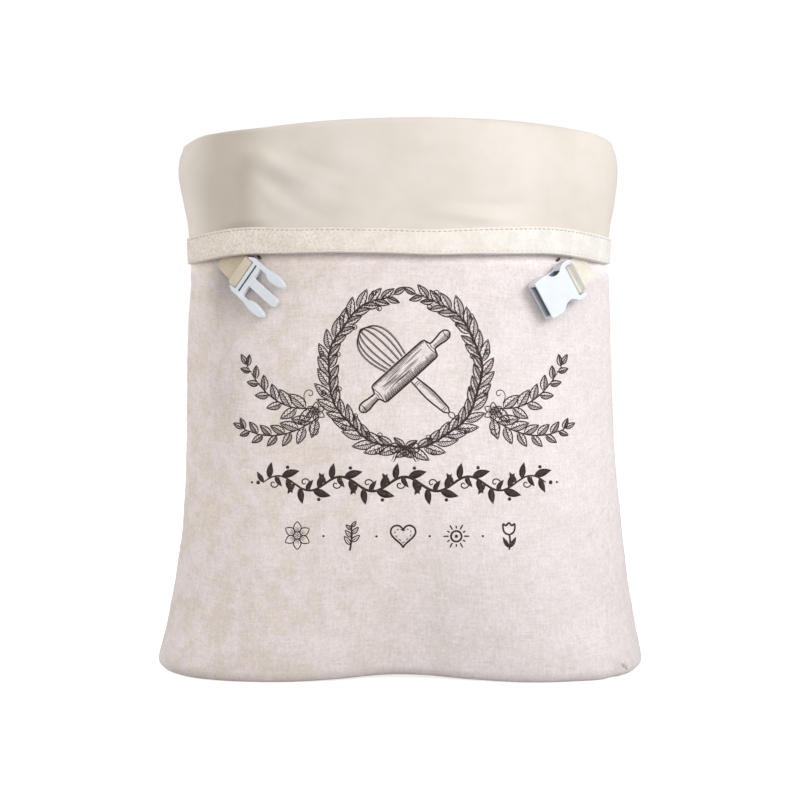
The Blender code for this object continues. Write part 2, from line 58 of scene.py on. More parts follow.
RIM_TOP = 361.0
BASE_BEND = 8.0
CUFF_STANDS_OFF, CUFF_STANDS_OFF_AT_SEAM = 5.0, 3.6
HEM_HEIGHT, HEM_WAVE, HEM_RISE = 273.6, 0.9, 2.4
BINDING_HEIGHT, BINDING_INSIDE_HEIGHT = 17.8, 14.5
# How much faster a cloth's layers part at the side seams than over the panels
SPREAD_ON_WALL, SPREAD_ON_CUFF = 1.35, 1.15

# Sections of the wall: height, half-width to the left and to the right seam, depth of the panel at its middle, and
# how the depth falls off towards the seams, as (1 - across^fullness)^taper
WALL_COLUMNS = ("height", "left", "right", "depth", "fullness", "taper")
WALL_SECTIONS = np.array(
    (
        (0.0, 163.0, 162.6, 57.0, 4.9, 0.475),
        (5.0, 165.0, 164.8, 57.2, 4.8, 0.475),
        (12.0, 163.7, 164.1, 57.2, 4.6, 0.485),
        (30.0, 159.8, 161.2, 56.5, 3.6, 0.56),
        (60.0, 154.6, 156.6, 55.5, 2.9, 0.65),
        (100.0, 149.4, 152.3, 54.5, 2.5, 0.72),
        (150.0, 147.3, 147.8, 53.5, 2.3, 0.76),
        (215.0, 146.6, 145.4, 53.0, 2.2, 0.80),
        (262.0, 143.9, 143.9, 52.0, 2.2, 0.80),
        (273.0, 138.8, 136.8, 50.2, 2.2, 0.80),
        (276.0, 138.6, 136.7, 50.0, 2.2, 0.80),
        (298.0, 139.5, 138.2, 49.8, 2.2, 0.80),
        (316.0, 142.8, 141.4, 49.8, 2.2, 0.80),
        (338.0, 146.4, 143.6, 50.0, 2.2, 0.80),
        (346.0, 145.6, 143.0, 50.0, 2.2, 0.80),
        (358.0, 141.0, 139.4, 49.8, 2.2, 0.80),
    )
)

# Soft folds: middle across and height, angle of the run from +X, half length and width, and how far it stands out
FRONT_FOLDS = (
    (4.0, 0.0, 90.0, 150.0, 46.0, -8.5),
    (-94.0, 22.0, 90.0, 80.0, 30.0, 2.0),
    (98.0, 20.0, 90.0, 80.0, 30.0, 3.0),
    (-122.0, 58.0, 62.0, 70.0, 13.0, -3.0),
    (126.0, 52.0, 118.0, 66.0, 12.0, -3.2),
    (-62.0, 120.0, 84.0, 110.0, 20.0, -2.0),
    (52.0, 150.0, 96.0, 100.0, 22.0, -1.8),
    (-112.0, 190.0, 80.0, 80.0, 14.0, -1.8),
    (104.0, 196.0, 100.0, 80.0, 16.0, -1.6),
)
BACK_FOLDS = (
    (-6.0, 0.0, 90.0, 130.0, 40.0, -6.0),
    (-88.0, 24.0, 90.0, 80.0, 30.0, 2.0),
    (92.0, 22.0, 90.0, 80.0, 30.0, 2.5),
    (-120.0, 60.0, 60.0, 66.0, 13.0, -2.6),
    (118.0, 64.0, 116.0, 70.0, 13.0, -2.8),
    (-40.0, 150.0, 98.0, 100.0, 22.0, -2.2),
    (70.0, 130.0, 82.0, 110.0, 20.0, -1.8),
)
FRONT_CUFF_FOLDS = (
    (-82.0, 334.0, -16.0, 46.0, 8.0, 1.2),
    (-74.0, 320.0, -22.0, 50.0, 7.0, -1.3),
    (-66.0, 307.0, -14.0, 44.0, 6.0, 1.0),
    (42.0, 303.0, 8.0, 50.0, 8.0, -1.2),
    (-122.0, 322.0, 84.0, 40.0, 10.0, -1.4),
    (112.0, 326.0, 100.0, 36.0, 12.0, -1.0),
)
BACK_CUFF_FOLDS = (
    (60.0, 324.0, 14.0, 60.0, 9.0, -1.3),
    (-70.0, 316.0, -10.0, 50.0, 8.0, 1.1),
    (118.0, 322.0, 84.0, 40.0, 12.0, -1.2),
)

# Finer creases that only the looks have, in the same columns
FINE_FRONT_CREASES = (
    (142.0, 0.0, 90.0, 46.0, 24.0, 5.5),
    (-142.0, 0.0, 90.0, 42.0, 22.0, 2.0),
    (138.0, 9.0, 150.0, 14.0, 2.2, -1.9),
    (143.0, 12.5, 128.0, 13.0, 2.2, 1.8),
    (147.0, 8.0, 104.0, 13.0, 1.9, -2.0),
    (-121.0, 236.0, 84.0, 46.0, 7.0, -2.6),
    (-110.0, 230.0, 82.0, 40.0, 6.0, 1.3),
    (-8.0, 120.0, 12.0, 60.0, 9.0, -0.7),
    (70.0, 90.0, 20.0, 60.0, 10.0, 0.8),
    (-150.0, 18.0, 38.0, 26.0, 3.2, -0.9),
    (-146.0, 27.0, 46.0, 30.0, 4.5, 0.8),
    (-138.0, 12.0, 24.0, 22.0, 3.0, -0.6),
    (151.0, 17.0, 142.0, 24.0, 3.0, -0.9),
    (146.0, 26.0, 132.0, 28.0, 4.2, 0.8),
    (138.0, 10.0, 156.0, 22.0, 3.0, -0.7),
    (-30.0, 18.0, 74.0, 40.0, 9.0, 0.7),
    (38.0, 20.0, 106.0, 42.0, 9.0, 0.7),
    (-8.0, 62.0, 84.0, 60.0, 10.0, -0.5),
    (-118.0, 235.0, -34.0, 30.0, 6.0, -0.7),
    (118.0, 226.0, 214.0, 34.0, 6.0, -0.7),
    (-60.0, 238.0, 68.0, 34.0, 7.0, 0.4),
    (66.0, 236.0, 112.0, 34.0, 7.0, 0.4),
    (96.0, 118.0, 74.0, 60.0, 10.0, 0.6),
    (-96.0, 112.0, 104.0, 60.0, 10.0, 0.6),
)
FINE_BACK_CREASES = (
    (-150.0, 18.0, 38.0, 26.0, 3.2, -0.9),
    (150.0, 18.0, 142.0, 24.0, 3.2, -0.9),
    (-30.0, 26.0, 76.0, 44.0, 9.0, 0.7),
    (44.0, 24.0, 104.0, 44.0, 9.0, 0.7),
    (20.0, 170.0, 80.0, 70.0, 11.0, -0.7),
    (-96.0, 160.0, 98.0, 70.0, 11.0, 0.6),
    (108.0, 200.0, 84.0, 50.0, 9.0, -0.5),
)
FINE_CUFF_CREASES = (
    (-96.0, 326.0, 86.0, 70.0, 12.5, 7.0),
    (-80.0, 335.0, -40.0, 26.0, 4.5, 1.1),
    (-66.0, 323.0, -29.0, 36.0, 4.5, 1.2),
    (-72.0, 315.0, -36.0, 28.0, 3.8, -1.0),
    (-50.0, 310.0, -17.0, 40.0, 4.5, 1.0),
    (-60.0, 304.0, -24.0, 30.0, 3.5, -0.9),
    (-88.0, 312.0, -52.0, 24.0, 4.0, -0.9),
    (-52.0, 331.0, -24.0, 40.0, 4.0, -0.7),
    (-30.0, 334.0, -14.0, 44.0, 5.0, 0.5),
    (10.0, 326.0, -8.0, 60.0, 6.0, -0.4),
    (20.0, 344.0, -5.0, 60.0, 5.0, 0.35),
    (78.0, 318.0, 12.0, 40.0, 7.0, 0.45),
    (40.0, 299.0, -4.0, 34.0, 5.0, 2.1),
    (52.0, 309.0, 9.0, 34.0, 4.0, 0.5),
    (118.0, 316.0, 92.0, 24.0, 5.0, 0.35),
)

# What happens beside the side seams, from a share of the half-width outwards
SEAM_ZONE_FROM, SEAM_ZONE = 0.93, 0.07
PUCKER_TO, PUCKER_FADE = 250.0, 15.0
SHOULDER = 5.3
SHOULDER_FROM, SHOULDER_AT, SHOULDER_TO = 260.5, 273.6, 277.6

# Where folds stop: on the wall under the cuff, and on the cuff next to the rim and to the binding
FOLDS_STOP_AT, FOLDS_FADE = 260.0, 25.0
PLAIN_BELOW_RIM, PLAIN_BELOW_RIM_FADE = 2.0, 14.0
PLAIN_OVER_BINDING, PLAIN_OVER_BINDING_FADE = -0.6, 4.5

# The arch in the middle of the front's bottom edge
BASE_LIFT, BASE_LIFT_WIDTH, BASE_LIFT_FADE = 3.0, 42.0, 60.0
BASE_LIFT_FROM, BASE_LIFT_TO = 0.5, 0.95

# How far the rim droops below RIM_TOP, from the left seam at -1 to the right seam at 1, and how far that is eased
RIM_DROOP_AT = (-1.0, -0.95, -0.86, -0.62, -0.3, 0.0, 0.5, 0.8, 0.95, 1.0)
RIM_DROOP = (4.6, 0.6, 1.2, 2.4, 1.0, 0.1, -0.6, -0.4, -0.7, 1.8)
RIM_EASE = 0.045

# Rows and columns of the cloths' grids
COLUMNS = 120
CROWDING = 0.9
FLOOR_ROWS, BEND_ROWS, WALL_ROWS, RIM_ROWS, CUFF_ROWS = 10, 9, 130, 12, 44
LEAST_FLOOR_RUN, LEAST_BEND_RUN = 3.6, 6.4
BEND_SHARE = 0.8
NO_BEND = 1e-6
# Faces that meet at a larger angle than this show a sharp edge
CREASED = radians(60.0)


# ---- The bag's surfaces ----


def smooth(values):
    """0 below 0, 1 above 1, and an easy S between them."""
    inside = np.clip(values, 0.0, 1.0)
    return inside * inside * (3.0 - 2.0 * inside)


def bell(value, middle, width):
    """1 at the middle, and down to nothing on both sides as a normal curve goes."""
    return np.exp(-(((value - middle) / width) ** 2))


def joined(*columns):
    """Arrays side by side, as the last axis of one: points from their coordinates, or faces from their corners."""
    return np.stack(np.broadcast_arrays(*columns), axis=-1)


def section(name, height):
    """A column of WALL_SECTIONS at any height, on a cubic through its rows that never overshoots them."""
    heights = WALL_SECTIONS[:, 0]
    values = WALL_SECTIONS[:, WALL_COLUMNS.index(name)]
    secants = np.diff(values) / np.diff(heights)
    before, after = secants[:-1], secants[1:]
    same_way = before * after > 0.0
    eased = np.where(same_way, 2.0 * before * after / np.where(same_way, before + after, 1.0), 0.0)
    slopes = np.concatenate(([0.0], eased, [secants[-1]]))
    height = np.clip(height, heights[0], heights[-1])
    row = np.clip(np.searchsorted(heights, height, side="right") - 1, 0, len(heights) - 2)
    step = heights[row + 1] - heights[row]
    t = (height - heights[row]) / step
    return (
        values[row] * (1 + 2 * t) * (1 - t) ** 2
        + slopes[row] * step * t * (1 - t) ** 2
        + values[row + 1] * t * t * (3 - 2 * t)
        + slopes[row + 1] * step * t * t * (t - 1)
    )


def half_width(across, height):
    return np.where(across < 0, section("left", height), section("right", height))


def fall_off(across, height):
    """1 at the middle of a panel and 0 at its seams."""
    inside = np.clip(1.0 - np.abs(across) ** section("fullness", height), 0.0, 1.0)
    return inside ** section("taper", height)


def folds(table, x, height):
    """The soft folds of a table added up: each is a bell across its run and fades out along it."""
    total = np.zeros(np.broadcast(x, height).shape)
    for middle, level, angle, length, width, out in table:
        turn = radians(angle)
        run = (x - middle) * cos(turn) + (height - level) * sin(turn)
        side = (height - level) * cos(turn) - (x - middle) * sin(turn)
        fade = np.clip(1.0 - (run / length) ** 2, 0.0, 1.0) ** 2
        total = total + out * fade * bell(side, 0.0, width)
    return total


def folds_left(height):
    """How much of the wall's folds is left at a height: all of them, and none from FOLDS_STOP_AT up."""
    return 1.0 - smooth((height - FOLDS_STOP_AT + FOLDS_FADE) / FOLDS_FADE)


def handling(x, height, face):
    """Faint unevenness from handling: a few long sine waves that cross at odd angles, under half a millimetre."""
    shift = 0.0 if face == FRONT else 40.0
    return (
        0.20 * np.sin((0.83 * x + 0.31 * height + shift) / 8.7 + 1.3 * np.sin(height / 31.0))
        + 0.17 * np.sin((0.24 * x - 0.71 * height - shift) / 7.1 + 1.1 * np.sin(x / 27.0))
        + 0.10 * np.sin((0.93 * x - 0.45 * height) / 4.3 + 1.7 * np.sin((x + height) / 23.0))
    )


def seam_zone(across):
    """0 over a panel, rising to 1 at its side seams."""
    return smooth((np.abs(across) - SEAM_ZONE_FROM) / SEAM_ZONE)


def seam_pucker(across, height):
    """Small waves along a side seam, which die away from it and towards the cuff."""
    waves = 0.09 * np.sin(height / 1.55 + 1.4 * np.sin(height / 13.0)) + 0.10 * np.sin(height / 5.2)
    return seam_zone(across) * waves * (1.0 - smooth((height - PUCKER_TO) / PUCKER_FADE))


def shoulder(across, height):
    """How much further the side seams stand out just below the cuff, where nothing draws the wall in."""
    rise = smooth((height - SHOULDER_FROM) / (SHOULDER_AT - SHOULDER_FROM))
    fall = 1.0 - smooth((height - SHOULDER_AT) / (SHOULDER_TO - SHOULDER_AT))
    return SHOULDER * rise * fall * seam_zone(across)


def wall_depth(across, height, inset, face):
    """How far the wall stands from the middle plane."""
    falling = fall_off(across, height)
    x = across * half_width(across, height)
    big = folds(FRONT_FOLDS if face == FRONT else BACK_FOLDS, x, height)
    fine = folds(FINE_FRONT_CREASES if face == FRONT else FINE_BACK_CREASES, x, height)
    relief = (big + fine + handling(x, height, face)) * np.sqrt(falling) * folds_left(height)
    return (section("depth", height) - inset) * falling + relief


def cuff_depth(across, height, inset, face):
    """How far the turned-down cuff stands from the middle plane."""
    falling = fall_off(across, height)
    x = across * half_width(across, height)
    below_rim = rim_height(across) - PLAIN_BELOW_RIM - height
    over_binding = height - hem_height(across) - BINDING_HEIGHT - PLAIN_OVER_BINDING
    shown = smooth(below_rim / PLAIN_BELOW_RIM_FADE) * smooth(over_binding / PLAIN_OVER_BINDING_FADE)
    big = folds(FRONT_CUFF_FOLDS if face == FRONT else BACK_CUFF_FOLDS, x, height)
    fine = folds(FINE_CUFF_CREASES, x if face == FRONT else -x, height)
    return (section("depth", height) + CUFF_STANDS_OFF + inset) * falling + (big + fine) * falling * shown


def hem_height(across):
    """Lower edge of the binding, which waves a little and rises over the two straps."""
    wave = HEM_WAVE * bell(across, -0.34, 0.17) - HEM_WAVE * bell(across, 0.14, 0.13)
    return HEM_HEIGHT + wave + HEM_RISE * bell(np.abs(across), 0.72, 0.22)


def half_turn(across, height):
    """Half of the space between the wall and the cuff, which is the radius of the linen's turn at the rim."""
    middle, seam = CUFF_STANDS_OFF / 2, CUFF_STANDS_OFF_AT_SEAM / 2
    return seam + (middle - seam) * fall_off(across, height)


def rim_height(across):
    """Height of the middle of the turn at the rim, on a smooth line through RIM_DROOP."""
    outside = CUFF_STANDS_OFF / 2 + LINEN + CLEAR + LINING
    spread = np.linspace(-RIM_EASE, RIM_EASE, 7)
    droop = np.mean([np.interp(across + shift, RIM_DROOP_AT, RIM_DROOP) for shift in spread], axis=0)
    return RIM_TOP - outside - droop


def body_path(across, inset, face):
    """Base, bend and wall of a panel: rows of x, distance from the middle plane, and height.

    Each column runs out along the base, round a bend of BASE_BEND and up the wall. Next to the side seams the base
    runs out of depth, and the same rows climb the seam instead.
    """
    reach = wall_depth(across, BASE_BEND, inset, face)
    radius = np.clip(np.minimum(BASE_BEND - inset, BEND_SHARE * reach), NO_BEND, None)
    floor_run = np.maximum(reach - radius, 0.0)
    bend_run = radius * pi / 2
    whole = floor_run + bend_run + rim_height(across) - inset - radius
    first = np.maximum(floor_run, LEAST_FLOOR_RUN)
    second = first + np.maximum(bend_run, LEAST_BEND_RUN)
    runs = [first * row / FLOOR_ROWS for row in range(FLOOR_ROWS)]
    runs += [first + (second - first) * row / BEND_ROWS for row in range(BEND_ROWS)]
    runs += [second + (whole - second) * row / WALL_ROWS for row in range(WALL_ROWS + 1)]
    run = np.stack(runs)

    turn = np.clip((run - floor_run) / radius, 0.0, pi / 2)
    climbed = np.maximum(run - floor_run - bend_run, 0.0)
    height = inset + radius * (1.0 - np.cos(turn)) + climbed
    on_base = np.minimum(run, floor_run) + radius * np.sin(turn)
    on_wall = wall_depth(across, height, inset, face)
    away = np.where(climbed > 0.0, on_wall, on_base)
    half = half_width(across, height) - SPREAD_ON_WALL * inset
    x = across * half + np.sign(across) * (seam_pucker(across, height) + shoulder(across, height))
    if face == FRONT:
        way_out = away / np.maximum(reach, 1.0)
        near_edge = smooth((way_out - BASE_LIFT_FROM) / (BASE_LIFT_TO - BASE_LIFT_FROM))
        lift = BASE_LIFT * bell(x, 0.0, BASE_LIFT_WIDTH) * near_edge
        height = height + lift * (1.0 - smooth(height / BASE_LIFT_FADE))
    return joined(x, away, height)


def rim_path(across, inset):
    """The turn over the rim, half an ellipse from the top of the wall to the top of the cuff."""
    middle = rim_height(across)
    turn = (pi * np.arange(1, RIM_ROWS) / RIM_ROWS)[:, None]
    over = (1.0 - np.cos(turn)) / 2
    spread = SPREAD_ON_WALL + (SPREAD_ON_CUFF - SPREAD_ON_WALL) * over
    half = half_width(across, middle) + CUFF_STANDS_OFF_AT_SEAM * over - spread * inset * np.cos(turn)
    depth = section("depth", middle) + CUFF_STANDS_OFF * over - inset * np.cos(turn)
    height = middle + (half_turn(across, middle) + inset) * np.sin(turn)
    return joined(across * half, depth * fall_off(across, middle), height)


def cuff_point(across, height, inset, face):
    """A point of the cuff as x, distance from the middle plane, and height."""
    half = half_width(across, height) + CUFF_STANDS_OFF_AT_SEAM + SPREAD_ON_CUFF * inset
    return joined(across * half, cuff_depth(across, height, inset, face), height)


def cuff_path(across, inset, face):
    """The cuff, from the rim down to the raw edges inside the binding."""
    top = rim_height(across)
    edge = hem_height(across) + BINDING + CLEAR
    rows = [top + (edge - top) * row / CUFF_ROWS for row in range(CUFF_ROWS + 1)]
    return cuff_point(across, np.stack(rows), inset, face)


def on_side(path, face):
    """A path of x, distance from the middle plane and height, brought to the front or the back of the bag."""
    return joined(path[..., 0], face * (path[..., 1] + SEAM), path[..., 2])


def across_panel(columns):
    """Columns from the left seam at -1 to the right seam at 1, closer together towards the seams."""
    even = np.linspace(-1.0, 1.0, columns + 1)
    return CROWDING * np.sin(even * pi / 2) + (1.0 - CROWDING) * even


def panel_skin(inset, face):
    """One face of a cloth, from the bottom seam to the raw edge, as rows of points in millimetres."""
    across = across_panel(COLUMNS)
    rows = (body_path(across, inset, face), rim_path(across, inset), cuff_path(across, inset, face))
    return on_side(np.concatenate(rows), face)


def front_depth_at(x, height):
    """Distance from the middle plane to the outside of the linen, at x and height on the front wall."""
    return wall_depth(x / half_width(x, height), height, 0.0, FRONT) + SEAM


# ---- Meshes ----


def grid_faces(rows, columns, first=0, ring_rows=False, ring_columns=False):
    """Quads of a grid whose points start at index first, its rows or columns closed into a ring if asked."""
    row = np.arange(rows if ring_rows else rows - 1)[:, None]
    column = np.arange(columns if ring_columns else columns - 1)[None, :]
    next_row, next_column = (row + 1) % rows, (column + 1) % columns
    corners = (
        row * columns + column,
        row * columns + next_column,
        next_row * columns + next_column,
        next_row * columns + column,
    )
    return first + joined(*corners).reshape(-1, 4)


def run_along(points, axis=0):
    """Distance along one axis of an array of points, from 0 at its first point."""
    steps = np.cumsum(np.linalg.norm(np.diff(points, axis=axis), axis=-1), axis=axis)
    return np.concatenate((np.zeros_like(np.take(steps, [0], axis=axis)), steps), axis=axis)


def points_at(at, run, points):
    """Points of a line at given distances, where run holds the distances of its own points."""
    return np.stack([np.interp(at, run, values) for values in points.T], axis=-1)


def arc_map(grid):
    """Distance over the cloth, in metres, from the middle column and from the first row, for the weave to follow."""
    middle = [grid.shape[1] // 2]
    across, along = run_along(grid, 1), run_along(grid, 0)
    return joined(across - across[:, middle], 0.5 * along + 0.5 * along[:, middle]) * MM


def in_scene(name, data):
    """A new object for a mesh, lamp or camera."""
    made = bpy.data.objects.new(name, data)
    bpy.context.scene.collection.objects.link(made)
    return made


def make_piece(name, points, faces, finish, uv=None, turn_out=True):
    """A piece from arrays of points in millimetres and of faces. A cloth also gives its map at each point."""
    mesh = bpy.data.meshes.new(name)
    corners = faces.shape[1]
    mesh.vertices.add(len(points))
    mesh.vertices.foreach_set("co", (points * MM).astype(np.float32).ravel())
    mesh.loops.add(faces.size)
    mesh.loops.foreach_set("vertex_index", faces.astype(np.int32).ravel())
    mesh.polygons.add(len(faces))
    mesh.polygons.foreach_set("loop_start", (np.arange(len(faces)) * corners).astype(np.int32))
    mesh.update(calc_edges=True)
    if uv is not None:
        layer = mesh.uv_layers.new(name="cloth")
        layer.data.foreach_set("uv", uv.reshape(-1, 2)[faces.ravel()].astype(np.float32).ravel())
    mesh.validate()
    if turn_out:
        work = bmesh.new()
        work.from_mesh(mesh)
        bmesh.ops.recalc_face_normals(work, faces=work.faces)
        work.to_mesh(mesh)
        work.free()
    mesh.shade_smooth()
    if uv is not None:
        mesh.set_sharp_from_angle(angle=CREASED)
    mesh.materials.append(finish)
    piece = in_scene(name, mesh)
    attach(piece, "root")
    return piece


def cloth(name, slot, outer, inner, finish):
    """A closed sheet between two grids of the same shape, with its four edges filled."""
    rows, columns = outer.shape[:2]
    behind = rows * columns
    border = np.concatenate(
        (
            np.arange(rows) * columns,
            (rows - 1) * columns + np.arange(1, columns),
            np.arange(rows - 2, -1, -1) * columns + columns - 1,
            np.arange(columns - 2, 0, -1),
        )
    )
    after = np.roll(border, -1)
    edge = joined(border, after, behind + after, behind + border)
    faces = np.concatenate((grid_faces(rows, columns), grid_faces(rows, columns, behind), edge))
    points = np.concatenate((outer.reshape(-1, 3), inner.reshape(-1, 3)))
    uv = np.tile(arc_map(outer).reshape(-1, 2), (2, 1))
    return make_piece(name, points, faces, finish, uv)


def tubes(path, radius, sides):
    """Thin closed tubes along many paths at once.

    path is (tubes, points, 3) in millimetres. Each point gets a ring of sides points, square to its run, and the two
    ends close on a point of their own.
    """
    run = np.gradient(path, axis=1)
    run /= np.linalg.norm(run, axis=-1, keepdims=True)
    level = np.where(np.abs(run[..., 2:]) > 0.9, (1.0, 0.0, 0.0), (0.0, 0.0, 1.0))
    side = np.cross(run, level)
    side /= np.linalg.norm(side, axis=-1, keepdims=True)
    up = np.cross(side, run)
    turn = 2 * pi * np.arange(sides) / sides
    ring = np.cos(turn)[:, None] * side[:, :, None, :] + np.sin(turn)[:, None] * up[:, :, None, :]
    rings = path[:, :, None, :] + radius * ring
    count, length = path.shape[:2]
    each, last = length * sides, (length - 1) * sides
    points = np.concatenate((rings.reshape(count, each, 3), path[:, :1], path[:, -1:]), axis=1)
    quads = grid_faces(length, sides, ring_columns=True)
    corner = np.arange(sides)
    after = (corner + 1) % sides
    start, end = joined(after, each, corner), joined(each + 1, last + after, last + corner)
    triangles = np.concatenate((quads[:, [0, 1, 2]], quads[:, [0, 2, 3]], start, end))
    offsets = (each + 2) * np.arange(count)[:, None, None]
    return points.reshape(-1, 3), (triangles[None] + offsets).reshape(-1, 3)


# ---- Finishes ----


WEAVE_PITCH = 0.00062
# The linen's two tints at its right, paler and greyer there as painted light from the key. Its painted shade and
# light up the bag, darker towards the base and lighter at its very foot and just under the cuff, each step as from
# and to a height in metres and from and to a shade. Its two patches of painted shade round the left strap: middle
# across, where they start and are full, between which heights, and how dark
LINEN_TINTS_LIT_RIGHT = ((0.706, 0.640, 0.616, 1.0), (0.752, 0.684, 0.682, 1.0))
LINEN_PAINTED_SHADE_AND_LIGHT_UP = ((0.0, 0.15, 0.885, 1.0), (0.0005, 0.0080, 1.14, 1.0), (0.2650, 0.2705, 1.0, 1.17))
LINEN_PAINTED_SHADE_PATCHES = ((-0.112, 0.026, 0.003, 0.228, 0.268, 0.36), (-0.117, 0.019, 0.003, 0.10, 0.20, 0.12))
TAIL_SHADE_ALONG = (0.0320, 0.0340)


class Nodes:
    """Short ways to add and join the nodes of one tree."""

    def __init__(self, tree):
        self.tree = tree

    def add(self, kind, inputs=(), **settings):
        node = self.tree.nodes.new(kind)
        for name, value in settings.items():
            setattr(node, name, value)
        for name, value in dict(inputs).items():
            self.put(node.inputs[name], value)
        return node

    def put(self, socket, value):
        if isinstance(value, bpy.types.NodeSocket):
            self.tree.links.new(value, socket)
        else:
            socket.default_value = value

    def math(self, operation, *values):
        return self.add("ShaderNodeMath", enumerate(values), operation=operation).outputs[0]

    def sum(self, first, *more):
        for value in more:
            first = self.math("ADD", first, value)
        return first

    def product(self, first, *more):
        for value in more:
            first = self.math("MULTIPLY", first, value)
        return first

    def less(self, first, second):
        return self.math("SUBTRACT", first, second)

    def blend(self, factor, first, second, kind="MIX"):
        """A mix of two colours by a factor. Its sockets for colours come after those for numbers and vectors."""
        inputs = {0: factor, 6: first, 7: second}
        return self.add("ShaderNodeMix", inputs, data_type="RGBA", blend_type=kind).outputs[2]

    def tinted(self, colour, by):
        return self.blend(1.0, colour, by, "MULTIPLY")

    def noise(self, vector, scale, detail=2.0, rough=0.5):
        inputs = {"Vector": vector, "Scale": scale, "Detail": detail, "Roughness": rough}
        return self.add("ShaderNodeTexNoise", inputs).outputs["Fac"]

    def stretch(self, vector, by):
        return self.add("ShaderNodeVectorMath", {0: vector, 1: by}, operation="MULTIPLY").outputs[0]

    def ramp(self, value, low, high, to_low=0.0, to_high=1.0):
        """An easy step of a value: to_low where it is at low, and to_high where it is at high."""
        inputs = enumerate((value, low, high, to_low, to_high))
        return self.add("ShaderNodeMapRange", inputs, interpolation_type="SMOOTHSTEP").outputs[0]

    def near(self, value, middle, far, close):
        """0 where a value is further than far from the middle, and 1 where it is within close of it."""
        return self.ramp(self.math("ABSOLUTE", self.sum(value, -middle)), far, close)

    def axes(self, vector):
        return self.add("ShaderNodeSeparateXYZ", {"Vector": vector}).outputs

    def vector(self, *axes):
        return self.add("ShaderNodeCombineXYZ", enumerate(axes)).outputs[0]

    def place(self):
        return self.add("ShaderNodeTexCoord").outputs["Object"]

    def cloth_map(self):
        return self.add("ShaderNodeUVMap", uv_map="cloth").outputs[0]

    def group(self, tree, **inputs):
        return self.add("ShaderNodeGroup", inputs, node_tree=tree).outputs


FLOAT, COLOUR, VECTOR = "NodeSocketFloat", "NodeSocketColor", "NodeSocketVector"


def new_group(name, inputs, outputs):
    """A shader node group with named sockets: inputs is (name, kind, value) and outputs is (name, kind)."""
    tree = bpy.data.node_groups.new(name, "ShaderNodeTree")
    for label, kind, value in inputs:
        socket = tree.interface.new_socket(label, in_out="INPUT", socket_type=kind)
        if value is not None:
            socket.default_value = value
    for label, kind in outputs:
        tree.interface.new_socket(label, in_out="OUTPUT", socket_type=kind)
    nodes = Nodes(tree)
    return tree, nodes, nodes.add("NodeGroupInput").outputs, nodes.add("NodeGroupOutput").inputs


def weave_group():
    """Plain weave on a map in metres.

    Warp and weft are rounded ridges that change places on a chequer. Each thread has a shade of its own, and slubs,
    long thin patches of noise, run along both.
    """
    tree, n, given, out = new_group(
        "plain weave",
        (("Map", VECTOR, None), ("Pitch", FLOAT, 0.0006), ("Slubs", FLOAT, 1.0)),
        (("Height", FLOAT), ("Tone", FLOAT), ("Between", FLOAT)),
    )
    shift = n.product(n.less(n.noise(given["Map"], 60.0, 1.0), 0.5), 0.0011)
    parts = n.axes(given["Map"])
    counted = [n.math("DIVIDE", n.sum(parts[axis], shift), given["Pitch"]) for axis in (0, 1)]
    waves = [n.math("SINE", n.product(count, pi)) for count in counted]
    over = n.ramp(n.product(*waves), -0.25, 0.25)

    def of_upper(warp, weft):
        return n.sum(n.product(warp, over), n.product(weft, n.less(1.0, over)))

    height = of_upper(*(n.math("POWER", n.math("ABSOLUTE", wave), 0.6) for wave in waves))
    shades = []
    for axis in (0, 1):
        thread = n.product(n.math("FLOOR", counted[axis]), 7.31)
        slub = n.noise(n.vector(thread, n.product(parts[1 - axis], 90.0), 3.7 * axis), 1.0, 2.0, 0.6)
        shades.append(n.less(slub, 0.5))
    own = of_upper(*shades)
    n.put(out["Height"], n.sum(height, n.product(own, 1.2)))
    n.put(out["Tone"], n.sum(n.product(own, given["Slubs"]), 0.5))
    n.put(out["Between"], n.ramp(height, 0.62, 0.3))
    return tree


def cloud_group():
    """Broad uneven patches of two tints on Object coordinates, as handling and washing leave on cloth."""
    tree, n, given, out = new_group(
        "uneven tint",
        (
            ("Place", VECTOR, None),
            ("First", COLOUR, None),
            ("Second", COLOUR, None),
            ("Size", FLOAT, 0.03),
            ("Left", FLOAT, 1.0),
            ("Right", FLOAT, 1.0),
        ),
        (("Color", COLOUR),),
    )
    patches = n.noise(given["Place"], n.math("DIVIDE", 1.0, given["Size"]), 3.0, 0.6)
    strength = n.ramp(n.axes(given["Place"])["X"], -0.14, 0.14, given["Left"], given["Right"])
    quiet = n.sum(n.product(n.less(n.ramp(patches, 0.36, 0.64), 0.62), strength), 0.62)
    n.put(out["Color"], n.blend(quiet, given["First"], given["Second"]))
    return tree


def rib_group():
    """Ribs across a narrow tape, on a map in metres, with a finer thread across each rib."""
    tree, n, given, out = new_group(
        "woven ribs",
        (("Map", VECTOR, None), ("Pitch", FLOAT, 0.001), ("Slant", FLOAT, 0.0)),
        (("Height", FLOAT),),
    )
    parts = n.axes(given["Map"])
    leaning = n.sum(parts[0], n.product(parts[1], given["Slant"]))
    rib, thread = (
        n.math("SINE", n.product(n.math("DIVIDE", run, given["Pitch"]), turn))
        for run, turn in ((leaning, 2 * pi), (parts[1], 3.1 * pi))
    )
    grain = n.noise(given["Map"], 900.0, 2.0, 0.6)
    n.put(out["Height"], n.sum(n.product(rib, 0.5), n.product(n.product(thread, rib), 0.3), grain))
    return tree


WEAVE, CLOUD, RIBS = weave_group(), cloud_group(), rib_group()


def finish(name, roughness, **constants):
    """A new material and its shader, with the values that are the same all over set on the shader's own sockets."""
    made = bpy.data.materials.new(name)
    made.use_nodes = True
    shader = made.node_tree.nodes["Principled BSDF"].inputs
    shader["Roughness"].default_value = roughness
    for label, value in constants.items():
        shader[label.replace("_", " ")].default_value = value
    return made, Nodes(made.node_tree), shader


